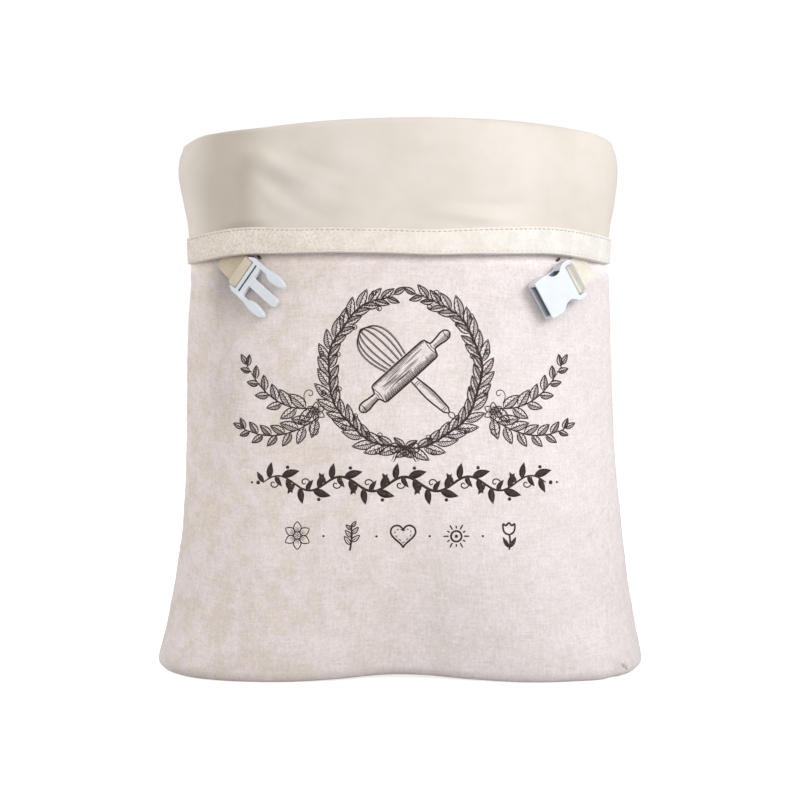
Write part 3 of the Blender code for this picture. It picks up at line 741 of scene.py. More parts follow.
def lay_on(n, shader, colour, height, strength, distance):
    """Gives a shader its colour, and its relief from a height, a strength and a depth in metres."""
    n.put(shader["Base Color"], colour)
    relief = n.add("ShaderNodeBump", {"Strength": strength, "Distance": distance, "Height": height})
    n.put(shader["Normal"], relief.outputs[0])


def front_only(n, parts):
    return n.ramp(parts["Y"], 0.0, -0.02)


def linen_finish(name, first, second):
    """Plain-woven linen: threads of uneven shade and slubs, with painted shade in the gaps between threads, over
    broad patches of two tints.

    Its painted light and shade: it darkens towards the base, lightens at its very foot and just under the cuff,
    turns paler and greyer towards the right, and has two patches of painted shade round the left strap.
    """
    made, n, shader = finish(name, 0.92, Sheen_Weight=0.25, Sheen_Roughness=0.5)
    place = n.place()
    parts = n.axes(place)
    weave = n.group(WEAVE, Map=n.cloth_map(), Pitch=WEAVE_PITCH, Slubs=1.0)
    # Painted light: the tints turn paler and greyer towards the right, where the key light falls.
    away = n.ramp(parts["X"], -0.10, 0.13)
    first, second = (n.blend(away, *tints) for tints in zip((first, second), LINEN_TINTS_LIT_RIGHT))
    cloud = n.group(CLOUD, Place=place, First=first, Second=second, Size=0.017, Left=0.85, Right=0.5)
    fleck, mottle = n.noise(place, 620.0, 3.0, 0.7), n.noise(place, 210.0, 3.0, 0.65)
    shade = n.sum(n.product(weave["Tone"], 0.50), n.product(fleck, 0.48), n.product(mottle, 0.20), 0.43)
    # Painted shade in the gaps between threads.
    shade = n.less(shade, n.product(weave["Between"], 0.10))
    # Painted shade towards the base, and painted light at its very foot and just under the cuff.
    shade = n.product(shade, *(n.ramp(parts["Z"], *step) for step in LINEN_PAINTED_SHADE_AND_LIGHT_UP))
    # Two patches of painted shade on the front, round the left strap and under the cuff there.
    painted_shade_patch, painted_shade_band = (
        n.product(n.near(parts["X"], middle, far, close), n.ramp(parts["Z"], low, high, 0.0, most))
        for middle, far, close, low, high, most in LINEN_PAINTED_SHADE_PATCHES
    )
    painted_shade = n.product(front_only(n, parts), n.sum(painted_shade_patch, painted_shade_band))
    shade = n.product(shade, n.less(1.0, painted_shade))
    lay_on(n, shader, n.tinted(cloud["Color"], shade), weave["Height"], 0.55, 0.00012)
    return made


def lining_finish(name, first, second, wear_and_shade):
    """Smooth satin with a faint grain, a little sheen and very soft shade changes, with painted shade at its left
    and painted light at its far right.
    """
    made, n, shader = finish(name, 0.5, Sheen_Weight=0.35, Sheen_Roughness=0.35)
    place = n.place()
    parts = n.axes(place)
    cloud = n.group(CLOUD, Place=place, First=first, Second=second, Size=0.05)
    threads = n.noise(n.stretch(n.cloth_map(), (260.0, 2600.0, 1.0)), 1.0, 2.0, 0.6)
    shade = n.sum(n.product(threads, 0.07), 0.965)
    # Painted light: a little lighter towards the far right.
    shade = n.product(shade, n.ramp(parts["X"], 0.09, 0.135, 1.0, 1.06))
    # Painted shade: a darker band on the front, at the left of the cuff.
    painted_shade_patch = n.product(n.near(parts["X"], -0.113, 0.038, 0.004), front_only(n, parts))
    colour = n.tinted(cloud["Color"], shade)
    colour = n.blend(painted_shade_patch, colour, n.tinted(colour, wear_and_shade))
    n.put(shader["Roughness"], n.ramp(threads, 0.2, 0.8, 0.44, 0.56))
    lay_on(n, shader, colour, threads, 0.2, 0.00005)
    return made


def tape_finish(name, first, second, pitch, slant, depth, pebble, left, right, reach, tail_shaded=False):
    """Woven tape: leaning ribs, pebbled grain and a slight mottle.

    Its tint goes from left to right over the bag, up to reach, as painted shade at the left and painted light at the
    right. With tail_shaded, the right strap's turned-back tail gets a painted shadow where it comes out from under
    the socket half.
    """
    made, n, shader = finish(name, 0.88, Sheen_Weight=0.3, Sheen_Roughness=0.5)
    cloth_map, place = n.cloth_map(), n.place()
    ribs = n.group(RIBS, Map=cloth_map, Pitch=pitch, Slant=slant)
    cloud = n.group(CLOUD, Place=place, First=first, Second=second, Size=0.012)
    across = n.axes(place)["X"]
    grain = n.product(n.less(n.noise(place, 620.0, 3.0, 0.8), 0.5), n.ramp(across, -0.09, 0.03, pebble, 0.34))
    # The ribs' height lightens their crests and darkens the grooves between them: painted shade.
    shade = n.sum(n.product(ribs["Height"], 0.10), grain, 0.93)
    # Painted shadow on the right strap's turned-back tail, next to the socket half's edge.
    if tail_shaded:
        on_tail = n.ramp(n.axes(cloth_map)["Y"], *TAIL_SHADE_ALONG)
        shade = n.product(shade, n.less(1.0, n.product(on_tail, n.ramp(across, 0.0, 0.05, 0.0, 0.36))))
    colour = n.tinted(cloud["Color"], shade)
    # Painted shade towards the left and painted light towards the right, across the bag up to reach.
    colour = n.tinted(colour, n.blend(n.ramp(across, -0.09, reach), left, right))
    lay_on(n, shader, colour, ribs["Height"], 0.6, depth)
    return made


def thread_finish(name, colour):
    """Twisted thread, lighter on its strands and darker between them as painted shade."""
    made, n, shader = finish(name, 0.7, Sheen_Weight=0.3)
    twist = n.noise(n.stretch(n.place(), (1.0, 1.0, 2.4)), 2600.0, 1.0)
    lay_on(n, shader, n.tinted(colour, n.ramp(twist, 0.3, 0.7, 0.82, 1.05)), twist, 0.5, 0.0001)
    return made


def plastic_finish(name, first, second, hollow_shade_colour):
    """Moulded plastic: a soft gloss, a fine orange-peel texture, faint flow marks, and painted shade inside its
    hollows.
    """
    made, n, shader = finish(
        name, 0.3, Specular_IOR_Level=0.5, Coat_Weight=0.2, Coat_Roughness=0.15,
        Subsurface_Weight=0.12, Subsurface_Radius=(0.001, 0.0012, 0.0014),
    )
    place = n.place()
    # Painted shade inside the halves' hollows, where little light reaches.
    hollow = n.add("ShaderNodeAttribute", attribute_name="hollow").outputs["Fac"]
    flow = n.noise(n.stretch(place, (1.0, 1.0, 2.2)), 90.0, 2.0)
    tint = n.blend(n.ramp(flow, 0.3, 0.7), first, second)
    n.put(shader["Roughness"], n.ramp(flow, 0.3, 0.7, 0.31, 0.34))
    lay_on(n, shader, n.blend(hollow, tint, hollow_shade_colour), n.noise(place, 1500.0, 2.0), 0.04, 0.00002)
    return made


def ink_finish(name, fresh, faded):
    """Dark brown ink that has sunk into the weave: the thread tops wear paler, and coverage is a little patchy."""
    made, n, shader = finish(name, 0.85)
    place = n.place()
    flat = n.axes(place)
    weave = n.group(WEAVE, Map=n.vector(flat["X"], flat["Z"]), Pitch=WEAVE_PITCH, Slubs=1.0)
    wear_and_shade = n.ramp(n.noise(place, 900.0, 3.0, 0.7), 0.52, 0.72)
    wear_and_shade = n.product(wear_and_shade, n.ramp(weave["Height"], 0.5, 1.1, 0.15, 0.7))
    lay_on(n, shader, n.blend(wear_and_shade, fresh, faded), weave["Height"], 0.5, 0.0001)
    return made


LINEN_FINISH = linen_finish("natural linen", (0.672, 0.590, 0.527, 1.0), (0.750, 0.668, 0.658, 1.0))
# The lining's third colour is the tint of the painted shade at the left of the front cuff.
LINING_FINISH = lining_finish(
    "cream satin lining", (0.618, 0.558, 0.492, 1.0), (0.660, 0.600, 0.541, 1.0), (0.765, 0.742, 0.695, 1.0)
)
# The tape's left and right tints are painted shade and painted light.
BINDING_FINISH = tape_finish(
    "cream cotton tape", (0.762, 0.696, 0.620, 1.0), (0.822, 0.760, 0.695, 1.0),
    pitch=0.0011, slant=0.8, depth=0.00016, pebble=1.15,
    left=(0.965, 0.94, 0.925, 1.0), right=(1.0, 1.035, 1.07, 1.0), reach=0.14,
)
# The webbing's left and right tints are painted shade on the left strap and painted light on the right one.
WEBBING_FINISH = tape_finish(
    "straw webbing", (0.80, 0.742, 0.63, 1.0), (0.85, 0.80, 0.70, 1.0),
    pitch=0.0013, slant=0.0, depth=0.0002, pebble=0.4,
    left=(0.73, 0.67, 0.59, 1.0), right=(0.95, 0.955, 0.97, 1.0), reach=0.05, tail_shaded=True,
)
STITCH_FINISH = thread_finish("tape stitching", (0.40, 0.33, 0.25, 1.0))
HEM_STITCH_FINISH = thread_finish("hem stitching", (0.66, 0.60, 0.51, 1.0))
# Near-black thread that stands in for the shadowed gaps under the tape beside the buckles: painted shadow.
SHADOW_THREAD_FINISH = thread_finish("near-black thread for painted shadow", (0.06, 0.05, 0.045, 1.0))
SEAM_FINISH = thread_finish("seam stitching", (0.62, 0.55, 0.48, 1.0))
# The plastic's third colour is the painted shade inside the halves' hollows.
PLASTIC_FINISH = plastic_finish(
    "pale blue moulded plastic", (0.655, 0.692, 0.735, 1.0), (0.692, 0.726, 0.764, 1.0), (0.23, 0.28, 0.34, 1.0)
)
INK_FINISH = ink_finish("brown printing ink", (0.030, 0.017, 0.012, 1.0), (0.30, 0.24, 0.21, 1.0))


# ---- Cloths, binding and stitches ----

BINDING_COLUMNS, STITCH_LINE_COLUMNS = 150, 300
BINDING_OUTSIDE = LINEN + CLEAR + LINING + CLEAR + BINDING
BINDING_SWELL = 0.14
# Where the tape leans back and shows narrower: by what share, where across, and how far to each side
LEAN, LEAN_AT, LEAN_WIDTH = 0.11, -0.11, 0.49
STITCH_BELOW_TOP, STITCH_ABOVE_EDGE = 1.7, 2.0
STITCH_DIP, STITCH_DIP_WIDTH = 0.22, 0.55
STITCH_PITCH, STITCH_LENGTH, STITCH_RISE, STITCH_RADIUS, STITCH_SINK = 3.4, 2.2, 0.24, 0.28, 0.16
TACK_RADIUS, TACK_SINK = 0.42, 0.1


def panels():
    """Linen and lining, a front and a back of each."""
    for side, face in (("front", FRONT), ("back", BACK)):
        for kind, other, inset, thickness, finish_of in (
            ("linen", "lining", 0.0, LINEN, LINEN_FINISH),
            ("lining", "linen", LINEN + CLEAR, LINING, LINING_FINISH),
        ):
            outer, inner = panel_skin(inset, face), panel_skin(inset + thickness, face)
            piece = cloth(f"{kind}_cloth_{side}", kind, outer, inner, finish_of)
            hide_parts(f"{kind}_{side}")


def ring_at(across, inset, above):
    """A line right round the bag at an inset on the cuff and a height above the hem: front half, then back half.

    Heights shrink by a tenth left of the middle, where the tape leans back and shows narrower.
    """
    lean = 1.0 - LEAN * np.exp(-(((across - LEAN_AT) / LEAN_WIDTH) ** 4))
    front, back = (
        on_side(cuff_point(across, hem_height(across) + above * lean, inset, face), face) for face in (FRONT, BACK)
    )
    return np.concatenate((front, back[::-1]))


def binding_profile():
    """Section of the tape, as inset on the cuff and height above the hem.

    It runs down the outer face, which swells a little between its two rows of stitches and dips at each, round the
    lower edge, up the inner face and back inside the tape.
    """
    face = BINDING_OUTSIDE - BINDING
    heights = np.linspace(BINDING_HEIGHT - 0.35, BINDING, 24)
    dips = STITCH_DIP * bell(heights, BINDING_HEIGHT - STITCH_BELOW_TOP, STITCH_DIP_WIDTH)
    dips = dips + STITCH_DIP * bell(heights, STITCH_ABOVE_EDGE, STITCH_DIP_WIDTH)
    swell = BINDING_SWELL * np.sin(pi * (heights - BINDING) / (BINDING_HEIGHT - 1.35))
    top = ((face, -0.1), (face + 0.35, 0.0), (face + 0.8, -0.08))
    turn = np.linspace(0.0, pi, 11)[1:-1]
    middle, half = (BINDING_OUTSIDE - CLEAR - BINDING) / 2, (BINDING_OUTSIDE + CLEAR + BINDING) / 2
    back = (
        (-CLEAR - BINDING, BINDING),
        (-CLEAR - BINDING, 7.0),
        (-CLEAR - BINDING, BINDING_INSIDE_HEIGHT - 0.3),
        (-CLEAR - BINDING / 2, BINDING_INSIDE_HEIGHT),
        (-CLEAR, BINDING_INSIDE_HEIGHT - 0.3),
        (-CLEAR, BINDING),
        (face, BINDING),
        (face, 7.0),
    )
    return np.concatenate(
        (
            np.array(top) + (0.0, BINDING_HEIGHT),
            joined(BINDING_OUTSIDE - dips + swell, heights),
            joined(middle + half * np.cos(turn), BINDING * (1.0 - np.sin(turn) ** 0.6)),
            back,
        )
    )


def binding():
    """The tape's section carried right round the bag."""
    across = across_panel(BINDING_COLUMNS)
    profile = binding_profile()
    rings = np.stack([ring_at(across, inset, above) for inset, above in profile])
    faces = grid_faces(*rings.shape[:2], ring_rows=True, ring_columns=True)
    uv = joined(run_along(rings[1])[None, :], run_along(profile)[:, None]) * MM
    piece = make_piece("binding_tape", rings.reshape(-1, 3), faces, BINDING_FINISH, uv)
    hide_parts("binding")


def binding_stitches():
    """Two rows of stitches along the tape: each is a short tube that rises out of it and dips back into it."""
    share = np.linspace(0.0, 1.0, 7)
    arch = ((np.sin(share * pi) ** 0.6) * STITCH_RISE - STITCH_RADIUS)[None, :, None]
    for name, above, thread in (
        ("binding_stitches_upper", BINDING_HEIGHT - STITCH_BELOW_TOP, STITCH_FINISH),
        ("binding_stitches_lower", STITCH_ABOVE_EDGE, HEM_STITCH_FINISH),
    ):
        line = ring_at(across_panel(STITCH_LINE_COLUMNS), BINDING_OUTSIDE - STITCH_SINK, above)
        line = np.concatenate((line, line[:1]))
        run = run_along(line)
        count = int(run[-1] / STITCH_PITCH)
        starts = (np.arange(count) + 0.2) * run[-1] / count
        path = points_at(starts[:, None] + share * STITCH_LENGTH, run, line)
        out = path * (0.25, 1.0, 0.0)
        out /= np.linalg.norm(out, axis=-1, keepdims=True)
        points, faces = tubes(path + out * arch, STITCH_RADIUS, 6)
        make_piece(name, points, faces, thread)


def tack(name, at, turn, length, rise, thread, over=0.0):
    """Tight thread loops on the front, or over it.

    Each runs length along its turn and arches rise out of the cloth.
    """
    at = np.array(at)
    share = np.linspace(-0.5, 0.5, 7)
    run = share * np.array(length)[:, None]
    x = at[:, :1] + run * np.cos(np.radians(turn))[:, None]
    height = at[:, 1:] + run * np.sin(np.radians(turn))[:, None]
    depth = front_depth_at(x, height) + over + rise * np.cos(pi * share) ** 0.6 - TACK_SINK
    points, faces = tubes(joined(x, -depth, height), TACK_RADIUS, 8)
    make_piece(name, points, faces, thread)


def tacks():
    """The knot in the lower right corner, and near-black threads on both sides of each buckle just under the
    binding, as painted shadow in the gaps under the tape there.
    """
    corner = ((144.5, 9.0), (146.0, 8.0), (147.4, 7.2), (145.6, 10.2))
    tack("corner_tack", corner, (118.0, 106.0, 96.0, 30.0), (3.6, 4.4, 3.8, 3.2), 0.45, SEAM_FINISH)
    # Near-black threads as painted shadow in the gaps under the tape beside each buckle.
    for name, middle, height, lean, over in (
        ("strap_tack_left", -92.5, 274.5, 128.0, 0.0),
        ("strap_tack_left_outer", -97.4, 273.6, 60.0, 3.0),
        ("strap_tack_right", 105.0, 273.9, 52.0, 0.3),
    ):
        at = [(middle + step, height - 0.25 * abs(step)) for step in (-0.7, 0.0, 0.7)]
        tack(name, at, (lean, lean + 6.0, lean - 6.0), (2.6, 3.4, 2.4), 0.5, SHADOW_THREAD_FINISH, over)


# ---- Buckle halves and straps ----

BUCKLE_CLEARANCE = 2.4
# Where each half lies on the front and how it is turned, its bar as near, far, low and high, and half its length.
# WORN is where the strap has pulled the socket half to, with its length and width against the solid's
PRONG_AT, PRONG_ANGLE = (-97.2, 259.5), -42.0
SOCKET_AT, SOCKET_ANGLE = (98.1, 251.6), 213.0
PRONG_BAR, PRONG_HALF_LENGTH = (0.9, 3.5, 1.0, 3.2), 8.95
SOCKET_BAR, SOCKET_HALF_LENGTH = (0.4, 3.0, 2.6, 5.2), 15.25
WORN_SOCKET_AT, WORN_SOCKET_ANGLE, SOCKET_STRETCH, SOCKET_SPREAD = (100.4, 252.5), 215.0, 1.08, 1.02

STRAP_WIDTH, STRAP_COLUMNS, STRAP_EDGE_THINS = 20.0, 24, 0.35
STRAP_OFF_WALL, STRAP_OFF_BAR = 0.45, 0.4
STRAP_LEFT_FROM, STRAP_RIGHT_FROM, STRAP_ROWS_ON_WALL = -31.0, -39.0, 5
STRAP_CLIMB = ((7.5, 0.0, 1.0), (5.5, 0.1, 1.0), (3.5, 0.45, 0.7), (1.8, 0.85, 0.3), (0.5, 1.0, 0.0))
STRAP_ROUND_IN, STRAP_ROUND_UP = 0.3, 0.5
STRAP_TAIL = ((0.0, 0.0), (1.3, 0.5), (2.3, 1.4))

# The hollow of each half, where the plastic gets painted shade: half its width, where it starts and ends along the
# half, its floor and roof, and how far it takes to set in from its open end
HOLLOWS = {
    "buckle_prong": (10.7, 8.0, 9.9, -1.0, 3.3, 0.3),
    "buckle_socket": (10.9, 8.0, 30.0, 0.9, 7.9, 2.5),
}
HOLLOW_EDGE = 0.3
REMESHED_TO, EASED_BY, EASED_TIMES = 0.28, 0.5, 5


def plain_depth_at(x, height):
    """Depth of the front wall without the finer creases, which the buckles' places are worked out from."""
    falling = fall_off(x / half_width(x, height), height)
    relief = folds(FRONT_FOLDS, x, height) * np.sqrt(falling) * folds_left(height)
    return section("depth", height) * falling + relief + SEAM


class PanelPlace:
    """A place on the front panel: a point on the linen, an axis along it, an axis across, and the way out."""

    def __init__(self, at, angle):
        x, height = at
        slope_x = (plain_depth_at(x + 1.0, height) - plain_depth_at(x - 1.0, height)) / 2.0
        slope_z = (plain_depth_at(x, height + 1.0) - plain_depth_at(x, height - 1.0)) / 2.0
        gradient = np.array((slope_x, 1.0, slope_z))
        self.steepness = np.linalg.norm(gradient)
        self.out = -gradient / self.steepness
        self.point = np.array((x, -float(plain_depth_at(x, height)), height))
        run = np.array((cos(radians(angle)), 0.0, sin(radians(angle))))
        run[1] = -(run @ self.out) / self.out[1]
        self.along = run / np.linalg.norm(run)
        self.across = np.cross(self.along, self.out)

    def flat(self, along, across, up):
        """Points on the flat place, up from the linen there."""
        along, across, up = (value[..., None] for value in np.broadcast_arrays(along, across, up))
        return self.point + along * self.along + across * self.across + up * self.out

    def curved(self, along, across, up):
        """The same, but up from the bag's curved wall wherever the point lies."""
        rise = np.zeros(np.broadcast(along, across).shape)
        for _ in range(4):
            points = self.flat(along, across, rise)
            off = points[..., 1] + plain_depth_at(points[..., 0], points[..., 2])
            rise = rise + off / self.steepness
        return self.flat(along, across, rise + up)

    def matrix(self, middle):
        """Where a buckle half drawn along +Y from its strap edge lies on the panel."""
        origin = self.point + BUCKLE_CLEARANCE * self.out - middle * self.along
        axes = np.stack((self.across, self.along, self.out, origin * MM), axis=1)
        return Matrix([*axes.tolist(), (0.0, 0.0, 0.0, 1.0)])


def hairpin(bar, middle, back_to):
    """Path of a strap's middle line: out of the cuff along the wall, under its bar and back over it."""
    near, far, bar_low, bar_high = bar
    near, far = near - middle, far - middle
    turn = STRAP_OFF_BAR + WEBBING / 2
    low, high = BUCKLE_CLEARANCE + bar_low - turn, BUCKLE_CLEARANCE + bar_high + turn
    tip = far + turn + STRAP_OFF_BAR
    on_wall = STRAP_OFF_WALL + WEBBING / 2
    wall_end = near - STRAP_CLIMB[0][0]
    climb = low - on_wall
    return (
        [
            (back_to + row * (wall_end - back_to) / STRAP_ROWS_ON_WALL, on_wall, 1.0)
            for row in range(STRAP_ROWS_ON_WALL)
        ]
        + [(near - before, on_wall + share * climb, curved) for before, share, curved in STRAP_CLIMB]
        + [(far, low, 0.0), (tip - STRAP_ROUND_IN, low + STRAP_ROUND_UP, 0.0), (tip, (low + high) / 2, 0.0)]
        + [(tip - STRAP_ROUND_IN, high - STRAP_ROUND_UP, 0.0), (far, high, 0.0)]
        + [(near - past, high - dropped, 0.0) for past, dropped in STRAP_TAIL]
    )


def rounded_path(path, times):
    """A path with its corners cut again and again, so that it ends as a smooth curve through the same ends."""
    path = np.array(path)
    for _ in range(times):
        first = 0.75 * path[:-1] + 0.25 * path[1:]
        second = 0.25 * path[:-1] + 0.75 * path[1:]
        inner = np.stack((first, second), axis=1).reshape(-1, path.shape[1])
        path = np.concatenate((path[:1], inner[1:-1], path[-1:]))
    return path


def strap(name, node, place, path):
    """A webbing strap on a path of distance along its place, height, and how much it follows the wall."""
    along, up, curved = rounded_path(path, 2).T[..., None]
    ways = np.concatenate((np.gradient(along, axis=0), np.gradient(up, axis=0)), axis=1)
    ways /= np.linalg.norm(ways, axis=1, keepdims=True)
    width = np.linspace(-STRAP_WIDTH / 2, STRAP_WIDTH / 2, STRAP_COLUMNS + 1)[None, :]
    thin = 1.0 - STRAP_EDGE_THINS * (np.abs(width) / (STRAP_WIDTH / 2)) ** 12
    skins = []
    for side in (0.5, -0.5):
        run = along - side * WEBBING * thin * ways[:, 1:]
        rise = up + side * WEBBING * thin * ways[:, :1]
        flat = place.flat(run, width, rise)
        skins.append(flat + smooth(curved)[..., None] * (place.curved(run, width, rise) - flat))
    piece = cloth(name, "webbing", *skins, WEBBING_FINISH)
    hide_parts(node)


def mark_hollow_shade(mesh, node):
    """Writes how deep in the half's hollow each point lies, which sets the painted shade there: the product of a
    smooth step in from every face.
    """
    half, near, far, floor, roof, setting_in = HOLLOWS[node]
    points = np.empty(len(mesh.vertices) * 3)
    mesh.vertices.foreach_get("co", points)
    x, y, z = points.reshape(-1, 3).T / MM
    inside = smooth((half - np.abs(x)) / HOLLOW_EDGE) * smooth((y - near) / HOLLOW_EDGE)
    inside *= smooth((far - y) / setting_in)
    inside *= smooth((z - floor) / HOLLOW_EDGE) * smooth((roof - z) / HOLLOW_EDGE)
    mesh.attributes.new("hollow", "FLOAT", "POINT").data.foreach_set("value", inside)


def moulded(name, node, place, middle, worn_to=None):
    """A buckle half as moulded: its solid with every edge rounded over, worked out square to its own axes.

    worn_to is the matrix of where it lies once the strap has pulled it a little round.
    """
    mesh = bpy.data.meshes.new(name)
    work = bmesh.new()
    work.from_mesh(bpy.data.objects[node].data)
    bmesh.ops.remove_doubles(work, verts=work.verts, dist=1e-6)
    work.to_mesh(mesh)
    work.free()
    placed = place.matrix(middle)
    mesh.transform(placed.inverted())
    piece = in_scene(name, mesh)
    remesh = piece.modifiers.new("even faces", "REMESH")
    remesh.mode = "VOXEL"
    remesh.voxel_size = REMESHED_TO * MM
    remesh.use_smooth_shade = True
    ease = piece.modifiers.new("rounded edges", "SMOOTH")
    ease.factor = EASED_BY
    ease.iterations = EASED_TIMES
    result = bpy.data.meshes.new_from_object(piece.evaluated_get(bpy.context.evaluated_depsgraph_get()))
    piece.modifiers.clear()
    piece.data = result
    result.name = name
    mark_hollow_shade(result, node)
    result.transform(worn_to or placed)
    result.materials.clear()
    result.materials.append(PLASTIC_FINISH)
    result.shade_smooth()
    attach(piece, "root")
    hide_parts(node)


def buckle():
    """Both halves, and the strap that goes round the bar of each."""
    prong_place = PanelPlace(PRONG_AT, PRONG_ANGLE)
    socket_place = PanelPlace(SOCKET_AT, SOCKET_ANGLE)
    worn_place, worn_middle = PanelPlace(WORN_SOCKET_AT, WORN_SOCKET_ANGLE), SOCKET_HALF_LENGTH * SOCKET_STRETCH
    worn_to = worn_place.matrix(worn_middle) @ Matrix.Diagonal((SOCKET_SPREAD, SOCKET_STRETCH, 1.0, 1.0))
    moulded("prong_half", "buckle_prong", prong_place, PRONG_HALF_LENGTH)
    moulded("socket_half", "buckle_socket", socket_place, SOCKET_HALF_LENGTH, worn_to)
    worn_bar = (SOCKET_BAR[0] * SOCKET_STRETCH, SOCKET_BAR[1] * SOCKET_STRETCH) + SOCKET_BAR[2:]
    strap("webbing_left", "strap_left", prong_place, hairpin(PRONG_BAR, PRONG_HALF_LENGTH, STRAP_LEFT_FROM))
    strap("webbing_right", "strap_right", worn_place, hairpin(worn_bar, worn_middle, STRAP_RIGHT_FROM))


# ---- Printed ornament ----

# A drawing is a list of stroke families. A family is (paths, widths): paths is (strokes, points, 2) in millimetres
# of x and height on the front panel, and widths is (strokes, points), half of the stroke's width at each point.

INK_EDGE, INK_CREST = 0.03, 0.075
LEAST_HALF_WIDTH = 0.02
ENGRAVED_LINE = 0.42
# A stroke that is cut is first made this many times finer, and what is left of it gets this many points
FINER, CUT_POINTS = 4, 12
LEAF_EDGES = np.array((-1.0, 1.0))[:, None]

WREATH_AT, WREATH_RADIUS, WREATH_LEAVES = np.array((3.0, 199.0)), 49.0, 19
PIN_PROFILE_AT = (0.0, 20.5, 22.3, 23.0, 23.6, 25.0, 29.0, 33.0, 36.0, 37.6, 38.2)
PIN_PROFILE = (7.2, 7.0, 6.4, 4.6, 2.6, 2.1, 2.5, 3.2, 2.9, 1.6, 0.1)
PIN_ANGLE, WHISK_ANGLE = 42.0, 137.0
SPRAY_LEAVES = 6
VINE_AT, VINE_REACH, VINE_CRESTS = (3.0, 127.0), 92.0, 9
MOTIF_AT, MOTIF_ACROSS, MOTIF_HEAVY = 93.5, (-66.0, -32.0, 2.0, 36.0, 70.0), 0.62
DRAW_SEED = 7


def pressure(count, start, end):
    """Width along a pen stroke, as a share: it swells from start to 1 in the middle and thins to end."""
    share = np.linspace(0.0, 1.0, count)
    swell = np.sin(pi * share) ** 0.6
    return swell + (1.0 - swell) * np.where(share < 0.5, start, end)


def family(paths, width, start=0.3, end=0.15):
    """Strokes of one half-width under a pen's pressure."""
    paths = paths.reshape(-1, *paths.shape[-2:])
    return paths, np.full((len(paths), 1), width) * pressure(paths.shape[1], start, end)


def stroke(x, z, width, start=0.3, end=0.15):
    """The same, from the x and the height of the strokes' points."""
    return family(joined(x, z), width, start, end)


def on_circle(turn):
    return joined(np.cos(turn), np.sin(turn))


def placed(drawing, at=(0.0, 0.0), angle=0.0, mirrored=False):
    """A drawing turned by an angle about its origin, mirrored first if asked, and moved to a point."""
    turn = radians(angle)
    matrix = np.array(((cos(turn), sin(turn)), (-sin(turn), cos(turn))))
    flip = np.array((-1.0 if mirrored else 1.0, 1.0))
    return [((paths * flip) @ matrix + np.array(at), widths) for paths, widths in drawing]


def leaf_lay(base, angle, length, plump, bend):
    """Where leaves lie: where each starts and its heading, its length, its half-width as a share, and its bend."""
    base, angle = np.asarray(base, float).reshape(-1, 2), np.ravel(angle)
    length, bend = (np.broadcast_to(value, angle.shape) for value in (length, bend))
    return base, angle, length, plump, bend


def leaf_point(u, v, base, angle, length, plump, bend):
    """A point of each leaf: u runs from its stalk at 0 to its tip at 1, and v from one edge at -1 to the other at 1.

    The leaf's middle line bends off as the square of u, and its width is a sine that is fullest before the middle.
    """
    u, v = np.broadcast_arrays(u, v)
    shape = (slice(None),) + (None,) * u.ndim
    length, bend, turn = length[shape], bend[shape], angle[shape]
    along = length * u
    half = plump * length * np.sin(pi * np.clip(u, 0.0, 1.0) ** 0.8) ** 0.9
    side = bend * length * u * u + half * v
    x = base[:, 0][shape] + along * np.cos(turn) - side * np.sin(turn)
    z = base[:, 1][shape] + along * np.sin(turn) + side * np.cos(turn)
    return joined(x, z)


def engraved_leaves(base, angle, length, plump, bend=0.0, shaded=1.0, hatches=9):
    """Leaves as an engraver draws them.

    Each has two edges, a midrib, close hatching on one half and a few ticks on the other.
    """
    lay = leaf_lay(base, angle, length, plump, bend)
    start = np.linspace(0.10, 0.84, hatches)[:, None]
    step = np.linspace(0.0, 1.0, 5)
    return [
        family(leaf_point(u, v, *lay), width, first, last)
        for u, v, width, first, last in (
            (np.linspace(0.0, 1.0, 12), LEAF_EDGES, ENGRAVED_LINE, 0.4, 0.5),
            (np.linspace(-0.14, 0.92, 8), 0.0, ENGRAVED_LINE * 0.85, 0.8, 0.3),
            (start + 0.13 * step, shaded * 0.94 * step, ENGRAVED_LINE * 0.62, 0.9, 0.3),
            (start[::2] + 0.10 * step, -shaded * 0.52 * step, ENGRAVED_LINE * 0.5, 0.9, 0.2),
            (start[1::2] + 0.05 + 0.06 * step, -shaded * (0.9 - 0.4 * step), ENGRAVED_LINE * 0.5, 0.9, 0.2),
        )
    ]


def solid_leaves(base, angle, length, plump, bend):
    """Leaves filled with ink, each a single stroke as wide as the leaf."""
    lay = leaf_lay(base, angle, length, plump, bend)
    run = np.linspace(0.0, 1.0, 15)
    widths = plump * lay[2][:, None] * np.maximum(np.sin(pi * run**0.8) ** 0.9, LEAST_HALF_WIDTH)
    return [(leaf_point(run, 0.0, *lay), widths)]


def discs(middles, radius, offset):
    """A path round or over each of a row of discs, from its offsets at a radius of 1, and the discs' radii."""
    middles = np.asarray(middles, float).reshape(-1, 1, 2)
    radius = np.broadcast_to(radius, len(middles))[:, None]
    return middles + radius[..., None] * offset, radius


def rings(middles, radius, width):
    """Circles drawn with an even line."""
    paths, _ = discs(middles, radius, on_circle(np.linspace(0.0, 2 * pi, 22)))
    return [(paths, np.full(paths.shape[:2], width))]


def dots(middles, radius):
    """Filled round dots, each a short stroke whose width is that of a circle."""
    turn = np.linspace(-pi / 2, pi / 2, 11)
    paths, radius = discs(middles, radius, joined(np.sin(turn), 0.0))
    return [(paths, np.maximum(radius * np.cos(turn), LEAST_HALF_WIDTH))]


def spiral(at, angle, reach, turns, width, way=1.0):
    """A tendril: it leaves a point at an angle and winds in on itself as its radius shrinks."""
    share = np.linspace(0.0, 1.0, 40)
    heading = angle + way * 2 * pi * turns * share**1.5
    steps = on_circle(heading) * (reach / 40) * (1.0 - 0.72 * share)[:, None]
    return [family(np.array(at) + np.cumsum(steps, axis=0), width, 0.8, 0.6)]


